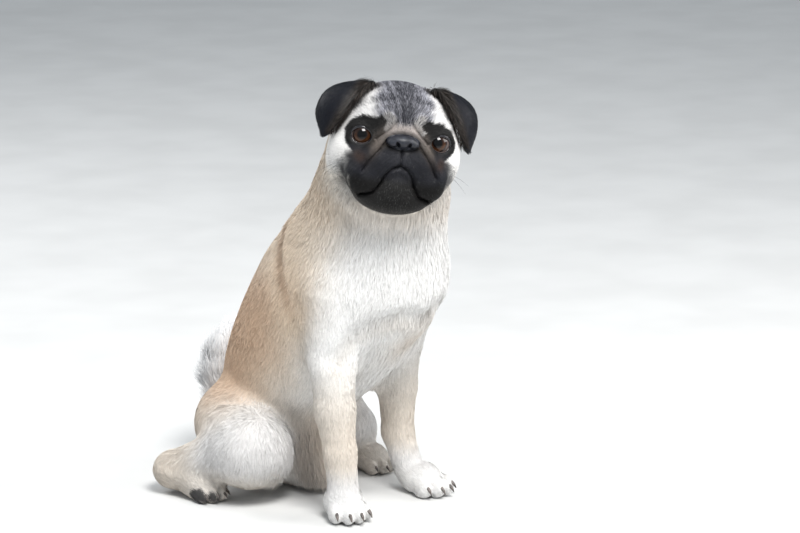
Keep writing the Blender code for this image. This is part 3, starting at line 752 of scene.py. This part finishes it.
def regions(p, weights):
    """Each region of the coat: where it is, and its tufts' length, width,
    rise from the skin and how many times they cover it."""
    h = in_head(p)
    owner = np.array(list(weights))[np.argmax(np.column_stack(list(weights.values())), axis=1)]
    head = owner == "head"
    face = head & (h[:, 1] < 0.016) & (h[:, 2] < 0.014)
    crown = head & ~face & (h[:, 2] > 0.002)
    fore = np.char.startswith(owner, "fore")
    hind = np.char.startswith(owner, "hind")
    foot = (fore & (p[:, 2] < 0.034)) | (hind & (p[:, 2] < 0.026))
    trunk = owner == "trunk"
    neck = trunk & (p[:, 2] > 0.262)
    chest = trunk & ~neck & (p[:, 1] < 0.03)
    sides = {"right": p[:, 0] < 0, "left": p[:, 0] >= 0}
    coats = {
        "coat_face": (face, 0.0034, 0.0004, 0.0004, 3),
        "coat_crown": (crown, 0.007, 0.0005, 0.0009, 4.2),
        "coat_cheeks": (head & ~face & ~crown, 0.0075, 0.0005, 0.0012, 4.4),
        "coat_neck": (neck, 0.012, 0.00058, 0.0021, 4),
        "coat_chest": (chest, 0.0125, 0.00058, 0.0021, 4.2),
    }
    for side, here in sides.items():
        coats["coat_flank_" + side] = (trunk & ~neck & ~chest & here, 0.0105, 0.00055, 0.0011, 4)
    for side in sides:
        coats["coat_foreleg_" + side] = ((owner == "foreleg_" + side) & ~foot, 0.0075, 0.0005, 0.0007, 3.6)
    for side in sides:
        coats["coat_hindleg_" + side] = ((owner == "hindleg_" + side) & ~foot, 0.01, 0.00052, 0.001, 4)
    coats["coat_forefeet"] = (fore & foot, 0.005, 0.00048, 0.0005, 2.8)
    coats["coat_hindfeet"] = (hind & foot, 0.0055, 0.0005, 0.0006, 2.8)
    coats["coat_tail"] = (owner == "tail", 0.025, 0.00075, 0.009, 15)
    return coats


# A tuft's triangles, and for each of its corners the row of its spine, its
# share of the width, its painted shade (darker at the root, where the coat
# shades itself, a little lighter toward the tip) and its place on the tuft's patch of the unwrap.
TUFT_FACES = np.array(((0, 1, 2), (1, 3, 2), (3, 4, 2), (3, 5, 4)))
TUFT_ROWS = (0, 1, 1, 2, 2, 3)
TUFT_SIDES = np.array((0, -0.5, 0.5, -0.38, 0.38, 0))
TUFT_PAINTED_SHADE = np.array((0.86, 0.95, 0.95, 1.02, 1.02, 1.04))
TUFT_PATCH = np.array(((0.5, 0), (0, 0.4), (1, 0.4), (0.1, 0.75), (0.9, 0.75), (0.5, 1))) * 0.003
TUFT_FILL = 0.62


def around(p, x, y):
    """The angle of each point about an upright axis, from 0 to 1."""
    return np.arctan2(p[:, 0] - x, y - p[:, 1]) / math.tau + 0.5


def unwrapped(p, weights):
    """A place on an unwrap of the body's own shape for each point."""
    u, v = around(p, 0, 0.07), p[:, 2] / 0.42
    for side, sign in (("right", -1), ("left", 1)):
        for leg, x, y in (("foreleg_", 0.055, 0.01), ("hindleg_", 0.085, 0.135)):
            own = weights[leg + side] > 0.5
            u[own], v[own] = around(p[own], sign * x, y), p[own, 2] / 0.24
    own = weights["head"] > 0.5
    h = in_head(p[own])
    u[own] = around(h, 0, 0.03)
    v[own] = np.arctan2(h[:, 2] + 0.01, np.hypot(h[:, 0], h[:, 1] - 0.03)) / math.pi + 0.5
    return np.clip(np.column_stack([u, v]), 0.01, 0.98)


def tufts(name, roots, normals, ways, colours, spots, size, width, rise, keep=None, on_skin=True, stray=0.12):
    """Flat, tapered tufts that lie along the body, as one mesh."""
    count = len(roots)
    ways = ways - normals * np.einsum("ij,ij->i", ways, normals)[:, None]
    ways = unit(ways + stray * RANDOM.normal(size=(count, 3)))
    ways = unit(ways - normals * np.einsum("ij,ij->i", ways, normals)[:, None])
    across = np.cross(normals, ways)
    roll = RANDOM.normal(0, 2 * stray, count)[:, None]
    across = across * np.cos(roll) + normals * np.sin(roll)
    long = (size * RANDOM.uniform(0.7, 1.25, count))[:, None]
    wide = (width * RANDOM.uniform(0.75, 1.25, count))[:, None]
    tall = rise * RANDOM.uniform(0.35, 1.15, count)
    heights = tall[:, None] * (0.55, 0.95, 1)
    spine = roots[:, None, :] + ways[:, None, :] * (long * (0, 0.38, 0.74, 1))[:, :, None]
    spine[:, 0] -= normals * 0.0004
    if on_skin:
        flat = spine[:, 1:].reshape(-1, 3).astype(np.float32)
        off = np.clip(flesh(flat) + coat_depth(flat), -0.004, 0.004)
        heights = heights - off.reshape(count, 3)
    spine[:, 1:] += normals[:, None, :] * heights[:, :, None]
    points = spine[:, TUFT_ROWS] + (across * wide)[:, None] * TUFT_SIDES[:, None]
    # Painted shade: each corner's colour is darkened toward the tuft's root, where the coat shades itself.
    tint = colours[:, None] * TUFT_PAINTED_SHADE[:, None]
    good = points[:, :, 2].min(axis=1) > 0.0002
    if keep is not None:
        good &= keep(points)
    points, tint, spots = points[good], tint[good], spots[good]
    faces = (TUFT_FACES[None] + (np.arange(len(points)) * 6)[:, None, None]).reshape(-1, 3)
    mesh = mesh_of(name, points.reshape(-1, 3), faces)
    painted(mesh, tint.reshape(-1, 3))
    uv = (spots[:, None] + TUFT_PATCH).reshape(-1, 2)
    layer = mesh.uv_layers.new(name="OFBake")
    layer.data.foreach_set("uv", uv[faces.ravel()].astype(np.float32).ravel())
    return placed(name, mesh)


def clear_of_eyes(points):
    """Keeps the tufts that leave the eyeballs and the nose bare."""
    good = np.ones(len(points), bool)
    for k in range(1, points.shape[1]):
        h = half_head(points[:, k])
        e = eye_frame(h)
        in_almond = np.hypot(e[:, 0] / (LID_WIDE + 0.0006), e[:, 2] / (LID_HIGH + 0.0006)) < 1
        good &= ~(in_almond & (e[:, 1] < 0))
        good &= ellipsoid(h, (0, -0.0225, -0.0008), (0.0141, 0.0112, 0.0068)) > 0
    return good


def scattered(triangles, normals, density):
    """Points spread over triangles, with their normals."""
    a, b, c = triangles[:, 0], triangles[:, 1], triangles[:, 2]
    area = length(np.cross(b - a, c - a)) / 2
    want = area * density
    count = np.floor(want + RANDOM.random(len(want))).astype(int)
    pick = np.repeat(np.arange(len(want)), count)
    r, s = RANDOM.random((2, len(pick)))
    flip = r + s > 1
    r[flip], s[flip] = 1 - r[flip], 1 - s[flip]
    r, s = r[:, None], s[:, None]
    place = a[pick] * (1 - r - s) + b[pick] * r + c[pick] * s
    lean = normals[pick, 0] * (1 - r - s) + normals[pick, 1] * r + normals[pick, 2] * s
    return place, unit(lean)


def surface_of(obj):
    """An object's triangles, and its points with their normals."""
    mesh = obj.data
    mesh.calc_loop_triangles()
    corners = np.empty(len(mesh.loop_triangles) * 3, np.int32)
    mesh.loop_triangles.foreach_get("vertices", corners)
    normals = np.empty(len(mesh.vertices) * 3, np.float32)
    mesh.vertex_normals.foreach_get("vector", normals)
    return corners.reshape(-1, 3), points_of(mesh), normals.reshape(-1, 3)


def tone_of(p, colour, dark, silver):
    """Each tuft's own tone, with black and silver hairs that run in streaks from the nose."""
    h = in_head(p)
    around = np.arctan2(h[:, 0], h[:, 2] + 0.01)
    away = np.hypot(h[:, 0], h[:, 2] + 0.01)
    streak = noise(np.column_stack([around, 1.6 * away, 0 * away]), 0.018, 21)
    streak = streak + 0.7 * noise(np.column_stack([around, 2.4 * away, 0 * away]), 0.042, 22)
    mixed = np.sqrt(dark * (1 - dark))
    share = np.clip(dark + 0.5 * mixed * streak + 0.5 * mixed * RANDOM.normal(size=len(dark)), 0, 1)
    tone = colour * (1 - share[:, None]) + np.array(SABLE) * share[:, None]
    pale = (RANDOM.random(len(tone)) < silver)[:, None]
    tone = np.where(pale, np.array(SILVER) * RANDOM.uniform(0.35, 1.1, (len(tone), 1)), tone)
    return np.clip(tone * RANDOM.normal(1, 0.06, (len(tone), 1)), 0, 0.95)


def grow_coat(skin):
    """The coat over all of the skin, one piece for each region."""
    corners, points, normals = surface_of(skin)
    colour, pepper, _, weights = markings(points)
    painted(skin.data, colour * (1 - pepper[:, None]) + np.array(BLACK) * pepper[:, None])
    middles = points[corners].mean(axis=1)
    owned = {name: weight[corners].mean(axis=1) for name, weight in weights.items()}
    hidden = 1 - 0.5 * step(-normals[corners].mean(axis=1)[:, 2], 0.5, 0.8)
    pieces = []
    for name, (where, size, width, rise, cover) in regions(middles, owned).items():
        density = cover / (size * width * TUFT_FILL) * hidden[where]
        roots, normal = scattered(points[corners[where]], normals[corners[where]], density)
        roots = roots.astype(np.float32)
        weight = part_weights(roots)
        ahead = (roots + flow_of(roots, weight) * (size * 0.4)).astype(np.float32)
        tone, dark, silver, _ = markings(ahead)
        tone = tone_of(roots, tone, dark, silver) * (1 + 0.03 * noise(roots, 0.009, 9)[:, None])
        local = half_head(roots)
        band = wave(bent_line(local, EAR_ROOT), 0.006) * weight["head"]
        shaggy = spot(roots, (-0.052, 0.066, 0.04), 0.034)
        belly = spot(roots, (-0.015, 0.062, 0.04), 0.03)
        grown = 1 + 0.5 * band + 1.3 * shaggy + 1 * belly
        lifted = rise * (1 + 2.6 * band + 4 * shaggy + 2.6 * belly)
        ways = flow_of(roots, weight) + (0.25, -0.45, -0.2) * (shaggy + belly)[:, None]
        pieces.append(tufts(
            name, roots, normal, ways, tone, unwrapped(roots, weight), size * grown, width, lifted,
            clear_of_eyes, on_skin=name != "coat_tail"))
    return pieces


def ear(name, side):
    """The ear as a thin folded sheet."""
    wide = len(EAR_ROWS[0])
    points = [from_head((side * x / 1000, y / 1000, z / 1000)) for row in EAR_ROWS for x, y, z in row]
    faces = []
    for r in range(len(EAR_ROWS) - 1):
        for c in range(wide - 1):
            corner = r * wide + c
            face = (corner, corner + 1, corner + wide + 1, corner + wide)
            faces.append(face if side > 0 else face[::-1])
    mesh = bpy.data.meshes.new(name)
    mesh.from_pydata([tuple(point) for point in points], [], faces)
    obj = placed(name, mesh)
    smooth = obj.modifiers.new("smooth", "SUBSURF")
    smooth.levels = smooth.render_levels = 4
    thick = obj.modifiers.new("thick", "SOLIDIFY")
    thick.thickness, thick.offset = 0.0018, 0
    made = bpy.data.meshes.new_from_object(obj.evaluated_get(bpy.context.evaluated_depsgraph_get()))
    made.shade_smooth()
    obj.modifiers.clear()
    obj.data = made
    return obj


EAR_HAIR, EAR_HAIR_WIDTH = 0.0042, 0.00042


def ear_coat(obj, side):
    """Satin hair along each ear to its tip, and fuzz along its edge."""
    corners, points, normals = surface_of(obj)
    tip = from_head((side * 0.069, 0.024, -0.012))
    painted(obj.data, BLACK)
    density = 2.8 / (EAR_HAIR * EAR_HAIR_WIDTH * TUFT_FILL)
    roots, normal = scattered(points[corners], normals[corners], np.full(len(corners), density))
    local = half_head(roots)
    near_root = wave(bent_line(local, EAR_ROOT), 0.006)
    tone = coloured((0.0075, 0.0085, 0.013), (UMBER, near_root))
    tone = np.clip(tone * RANDOM.normal(1, 0.1 + 0.35 * near_root[:, None], (len(roots), 1)), 0.002, 1)
    spots = np.clip(np.column_stack([0.1 + local[:, 0] / 0.1, 0.3 + local[:, 2] / 0.15]), 0.01, 0.98)
    return tufts(
        obj.name.replace("ear", "coat_ear"), roots, normal, unit(tip - roots), tone, spots,
        EAR_HAIR * (1 + 1.3 * near_root), EAR_HAIR_WIDTH, 0.0004 + 0.0032 * near_root,
        on_skin=False, stray=0.05)


def looking(point, gaze):
    """A frame at a point, its Z along a gaze and its Y as upright as can be."""
    z = Vector(gaze).normalized()
    x = Vector((0, 0, 1)).cross(z).normalized()
    y = z.cross(x)
    turn = Matrix((x, y, z)).transposed().to_4x4()
    return Matrix.Translation(point) @ turn


CAMERA_WAY = (-0.689, -0.689, 0.225)
PUPIL, IRIS = math.radians(21), math.radians(47)


def eye(name, side):
    """An eyeball with its clear front, iris and pupil."""
    centre = from_head((side * EYE_APART, EYE_FORWARD, 0))
    bm = bmesh.new()
    bmesh.ops.create_uvsphere(bm, u_segments=96, v_segments=72, radius=1)
    mesh = bpy.data.meshes.new(name)
    bm.to_mesh(mesh)
    bm.free()
    points = points_of(mesh).astype(float)
    angle = np.arccos(np.clip(points[:, 2], -1, 1))
    around = np.arctan2(points[:, 1], points[:, 0])
    streak = noise(np.column_stack([np.cos(around) * 3, np.sin(around) * 3, angle * 1.5]), 0.28, 11)
    fine = noise(np.column_stack([np.cos(around) * 9, np.sin(around) * 9, angle * 2]), 0.3, 12)
    depth = (angle - PUPIL) / (IRIS - PUPIL)
    # The iris is painted darker at its top and lighter below: painted shade of the upper lid.
    below = step(-points[:, 1], -0.35, 0.45)
    colour = coloured(
        np.array((0.015, 0.0065, 0.0038)) * (1 + 0.3 * streak + 0.25 * fine)[:, None],
        ((0.09, 0.034, 0.012), (0.02 + 0.68 * below) * wave(depth - 0.5, 0.34)),
        ((0.006, 0.004, 0.004), step(depth, 0.8, 1.02)),
        ((0.1, 0.075, 0.07), step(depth, 1.06, 1.2)),
        ((0.001, 0.001, 0.0012), step(-angle, -PUPIL - 0.05, -PUPIL + 0.02)),
    )
    swell = EYE_RADIUS + 0.0006 * step(-angle, -IRIS - 0.05, -IRIS * 0.55)
    frame_at = looking(centre, CAMERA_WAY)
    mesh.vertices.foreach_set("co", (points * swell[:, None]).astype(np.float32).ravel())
    mesh.transform(frame_at)
    mesh.shade_smooth()
    painted(mesh, np.clip(colour, 0.001, 1))
    return placed(name, mesh)


def tube(line, radii, sides=8):
    """Points and triangles of a round tube along a line, closed at its ends."""
    line = np.asarray(line, float)
    along = unit(np.gradient(line, axis=0))
    guide = np.array((0, 0, 1)) if abs(along[0, 2]) < 0.9 else np.array((1, 0, 0))
    points = []
    for place, way, radius in zip(line, along, radii):
        guide = guide - way * (guide @ way)
        guide = guide / np.linalg.norm(guide)
        other = np.cross(way, guide)
        for k in range(sides):
            angle = math.tau * k / sides
            points.append(place + radius * (guide * math.cos(angle) + other * math.sin(angle)))
    faces = []
    for row in range(len(line) - 1):
        for k in range(sides):
            a, b = row * sides + k, row * sides + (k + 1) % sides
            faces += [(a, b, b + sides), (a, b + sides, a + sides)]
    last = (len(line) - 1) * sides
    for k in range(1, sides - 1):
        faces += [(0, k + 1, k), (last, last + k, last + k + 1)]
    return np.array(points), np.array(faces)


def joined(name, shapes):
    """One object from several shapes of points and triangles."""
    points, faces, start = [], [], 0
    for shape_points, shape_faces in shapes:
        points.append(shape_points)
        faces.append(shape_faces + start)
        start += len(shape_points)
    return placed(name, mesh_of(name, np.concatenate(points), np.concatenate(faces)))


def lid_line(side, grow, lift, start=0, end=360, count=56):
    """A line along the edge of the lids, just over the eyeball."""
    t = np.radians(np.linspace(start, end, count))
    x, z = (LID_WIDE + grow) * np.cos(t), (LID_HIGH + grow) * np.sin(t)
    y = -np.sqrt(np.maximum((EYE_RADIUS + lift) ** 2 - x**2 - z**2, 1e-9))
    e = np.column_stack([x, y, z])
    turn = np.array(Matrix.Rotation(math.radians(EYE_OUTWARD), 3, "Z"))
    h = e @ turn.T + (EYE_APART, EYE_FORWARD, 0)
    h[:, 0] *= side
    return from_head(h)


def lids(side, name):
    """The dark, moist edge round each eye."""
    line = lid_line(side, 0.0002, 0.0006)
    t = np.linspace(0, math.tau, len(line))
    return joined(name, [tube(line, 0.00095 + 0.00035 * np.sin(t), 10)])


def tear_line(side, name):
    """The wet line along the lower lid."""
    line = lid_line(side, -0.0006, 0.00055, 200, 345, 30)
    t = np.linspace(0, math.pi, len(line))
    return joined(name, [tube(line, 0.00004 + 0.00014 * np.sin(t), 6)])


def nose():
    """The nose leather, fine enough for its wings and nostrils."""
    middle = from_head((0, -0.0225, -0.0008))

    def leather(p):
        h = half_head(p)
        space = ellipsoid(h, (0, -0.0218, -0.0008), (0.0158, 0.0126, 0.0074))
        return np.maximum(nostrils(blend(head_field(p, with_nose=False), nose_masses(h), 0.0015), h), space)

    points, quads = grown_mesh(leather, middle - 0.019, middle + 0.019, NOSE_VOXEL)
    return placed("nose_leather", mesh_of("nose_leather", points, quads))


CLAW_LINE = ((0, -0.007, 0.0112), (0, -0.0105, 0.0112), (0, -0.0138, 0.0094), (0, -0.0162, 0.0062))
CLAW_RADII = (0.0021, 0.002, 0.0014, 0.0004)


def claws(name, paw, turn, size=1):
    shapes = []
    for x, y, spread in TOES:
        steps = np.linspace(0, 3, 13)
        line = np.column_stack([np.interp(steps, range(4), axis) for axis in np.array(CLAW_LINE).T])
        radii = np.interp(steps, range(4), CLAW_RADII)
        foot = Matrix.Translation((*paw, 0)) @ Matrix.Rotation(math.radians(turn), 4, "Z")
        toe = Matrix.Translation((x, y, 0)) @ Matrix.Rotation(math.radians(spread), 4, "Z")
        toe = np.array(foot @ Matrix.Scale(size, 4) @ toe)
        shapes.append(tube(line @ toe[:3, :3].T + toe[:3, 3], radii * size, 10))
    return joined(name, shapes)


def whiskers():
    """Fine whiskers on the lips, brows and cheeks."""
    hairs = []
    for side in (-1, 1):
        for k in range(15):
            row, column = divmod(k, 5)
            start = np.array((0.01 + 0.005 * column, -0.03 + 0.0022 * column, -0.014 - 0.006 * row))
            start += RANDOM.normal(0, 0.0009, 3)
            way = np.array((0.75, -0.42 + 0.16 * column, -0.3 - 0.18 * row)) + RANDOM.normal(0, 0.12, 3)
            hairs.append((side, start, way, RANDOM.uniform(0.016, 0.027)))
        for k in range(3):
            way = np.array((0.25, -0.55, 0.7)) + RANDOM.normal(0, 0.1, 3)
            hairs.append((side, np.array((0.017 + 0.004 * k, -0.01, 0.02 + 0.001 * k)), way, 0.013))
        for k in range(2):
            way = np.array((0.8, -0.2, -0.4)) + RANDOM.normal(0, 0.1, 3)
            hairs.append((side, np.array((0.047, 0.004 + 0.005 * k, -0.026)), way, 0.015))
    t = np.linspace(0, 1, 9)[:, None]
    shapes = []
    for side, start, way, size in hairs:
        line = start + way / np.linalg.norm(way) * size * t + np.array((0, 0.1, -0.22)) * size * t**2
        line = from_head(line * (side, 1, 1))
        skin_at = flesh(line[:1].astype(np.float32))[0]
        line = line - unit(line[1:2] - line[:1]) * skin_at
        shapes.append(tube(line, np.interp(t[:, 0], (0, 1), (0.00012, 0.00003)), 4))
    return joined("whiskers", shapes)


def plain(name, roughness, specular=0.5, coat=0):
    made = bpy.data.materials.new(name)
    made.use_nodes = True
    shader = made.node_tree.nodes["Principled BSDF"]
    shader.inputs["Roughness"].default_value = roughness
    shader.inputs["Specular IOR Level"].default_value = specular
    shader.inputs["Coat Weight"].default_value = coat
    shader.inputs["Coat Roughness"].default_value = 0.03
    shader.inputs["Coat IOR"].default_value = 1.42
    return made


def from_markings(made):
    """Takes a material's colour from the markings on the mesh."""
    nodes, links = made.node_tree.nodes, made.node_tree.links
    colour = nodes.new("ShaderNodeVertexColor")
    colour.layer_name = "markings"
    links.new(colour.outputs["Color"], nodes["Principled BSDF"].inputs["Base Color"])
    return made


def lumps_on(made, scale, detail):
    """A noise texture in the object's own space."""
    nodes, links = made.node_tree.nodes, made.node_tree.links
    place = nodes.new("ShaderNodeTexCoord")
    lumps = nodes.new("ShaderNodeTexNoise")
    lumps.inputs["Scale"].default_value = scale
    lumps.inputs["Detail"].default_value = detail
    links.new(place.outputs["Object"], lumps.inputs["Vector"])
    return nodes, links, lumps.outputs["Fac"]


def grain(made, scale, strength, distance):
    """A fine bump over a material."""
    nodes, links, lumps = lumps_on(made, scale, 3)
    bump = nodes.new("ShaderNodeBump")
    bump.inputs["Strength"].default_value = strength
    bump.inputs["Distance"].default_value = distance
    links.new(lumps, bump.inputs["Height"])
    links.new(bump.outputs["Normal"], nodes["Principled BSDF"].inputs["Normal"])
    return made


def mottled(made, dark, light, scale):
    """A colour that wanders between two tones."""
    nodes, links, lumps = lumps_on(made, scale, 2)
    ramp = nodes.new("ShaderNodeValToRGB")
    for stop, tone, place in zip(ramp.color_ramp.elements, (dark, light), (0.35, 0.65)):
        stop.color = (*tone, 1)
        stop.position = place
    links.new(lumps, ramp.inputs["Fac"])
    links.new(ramp.outputs["Color"], nodes["Principled BSDF"].inputs["Base Color"])
    return made


HAIR = from_markings(plain("hair", 0.62, 0.15))
SATIN = from_markings(plain("satin_hair", 0.46, 0.2))
HIDE = grain(from_markings(plain("hide", 0.6, 0.4)), 900, 0.35, 0.0006)
LEATHER = grain(mottled(plain("leather", 0.4, 0.45), (0.008, 0.009, 0.013), (0.02, 0.022, 0.031), 220),
                1500, 0.55, 0.0004)
RIM = mottled(plain("rim", 0.25, 0.6), (0.006, 0.006, 0.008), (0.014, 0.013, 0.016), 300)
WET = mottled(plain("wet", 0.12, 0.6), (0.12, 0.09, 0.085), (0.2, 0.16, 0.15), 300)
HORN = mottled(plain("horn", 0.35, 0.5), (0.05, 0.043, 0.04), (0.16, 0.135, 0.12), 240)
BRISTLE = mottled(plain("bristle", 0.6, 0.2), (0.006, 0.006, 0.007), (0.02, 0.02, 0.022), 90)
GLASSY = from_markings(plain("eyeball", 0.5, 0, coat=1))

# Every piece: its object, material, slot and the nodes it stands for.
skin = make_skin()
coat = grow_coat(skin)
fleshy = ["head", "neck", "torso", "tail", "tail_curl"]
for node in ("foreleg", "forepaw", "hindleg", "hindpaw"):
    fleshy += [node + "_right", node + "_left"]
pieces = [(skin, HIDE, "fawn_coat", fleshy)]
pieces += [(piece, HAIR, "fawn_coat", []) for piece in coat]
pieces.append((nose(), LEATHER, "nose_leather", ["nose"]))
pieces.append((whiskers(), BRISTLE, "black_coat", []))
for side, sign in (("right", -1), ("left", 1)):
    flap = ear("flap_" + side, sign)
    flap.name = "ear_flap_" + side
    pieces.append((flap, HIDE, "black_coat", ["ear_" + side]))
    pieces.append((ear_coat(flap, sign), SATIN, "black_coat", []))
    pieces.append((eye("eyeball_" + side, sign), GLASSY, "eye", ["eye_" + side]))
    pieces.append((lids(sign, "lids_" + side), RIM, "black_coat", []))
    pieces.append((tear_line(sign, "tear_line_" + side), WET, "black_coat", []))
    points, paw, turn = FORELEGS[side]
    pieces.append((claws("claws_fore_" + side, paw, turn), HORN, "black_coat", []))
    pieces.append((claws("claws_hind_" + side, HINDLEGS[side][4], 0, HINDPAW_SIZE), HORN, "black_coat", []))
for piece, finish, slot, nodes in pieces:
    piece.data.materials.clear()
    piece.data.materials.append(finish)
    piece.data.transform(Matrix.Translation(SHIFT))
    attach(piece, ROOT)
    if nodes:
        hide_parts(*nodes)


def add_camera():
    """A long lens at the photograph's height and angle."""
    around, above, away = math.radians(-45), math.radians(13), 3.5
    target = Vector((0.0095, -0.0095, 0.2286)) + SHIFT
    back = Vector((math.sin(around) * math.cos(above), -math.cos(around) * math.cos(above), math.sin(above)))
    data = bpy.data.cameras.new("camera")
    data.lens, data.sensor_width = 170.1, 36
    camera = bpy.data.objects.new("camera", data)
    camera.location = target + back * away
    camera.rotation_euler = (-back).to_track_quat("-Z", "Y").to_euler()
    bpy.context.scene.collection.objects.link(camera)
    bpy.context.scene.camera = camera


def add_light(name, place, target, size, power, colour):
    data = bpy.data.lights.new(name, "AREA")
    data.shape, data.size, data.energy, data.color = "SQUARE", size, power, colour
    light = bpy.data.objects.new(name, data)
    light.location = place
    aim = Vector(target) - Vector(place)
    light.rotation_euler = aim.to_track_quat("-Z", "Y").to_euler()
    bpy.context.scene.collection.objects.link(light)


def add_studio():
    corners = np.array(((-6, -6, 0), (6, -6, 0), (6, 6, 0), (-6, 6, 0)))
    floor = placed("floor", mesh_of("floor", corners, [(0, 1, 2, 3)]))
    made = mottled(plain("floor", 0.8), (0.6, 0.6, 0.592), (0.64, 0.64, 0.632), 9)
    floor.data.materials.append(grain(made, 400, 0.12, 0.0006))
    world = bpy.data.worlds.new("studio")
    world.use_nodes = True
    world.node_tree.nodes["Background"].inputs["Color"].default_value = (0.86, 0.93, 1, 1)
    world.node_tree.nodes["Background"].inputs["Strength"].default_value = 0.5
    bpy.context.scene.world = world
    bpy.context.scene.view_settings.view_transform = "Standard"
    add_light("key", (-0.45, -1.05, 1.9), (0, -0.05, 0.25), 0.8, 54, (1, 0.99, 0.975))
    add_light("above", (0, -0.2, 2.6), (0, 0, 0.2), 2.4, 12, (0.93, 0.97, 1))
    add_light("side", (1.3, -1.1, 1.1), (0, 0, 0.2), 1, 17, (1, 0.98, 0.96))
    add_light("rim", (-0.2, 1.7, 1.4), (0, 0, 0.25), 1, 18, (1, 1, 1))


add_camera()
add_studio()
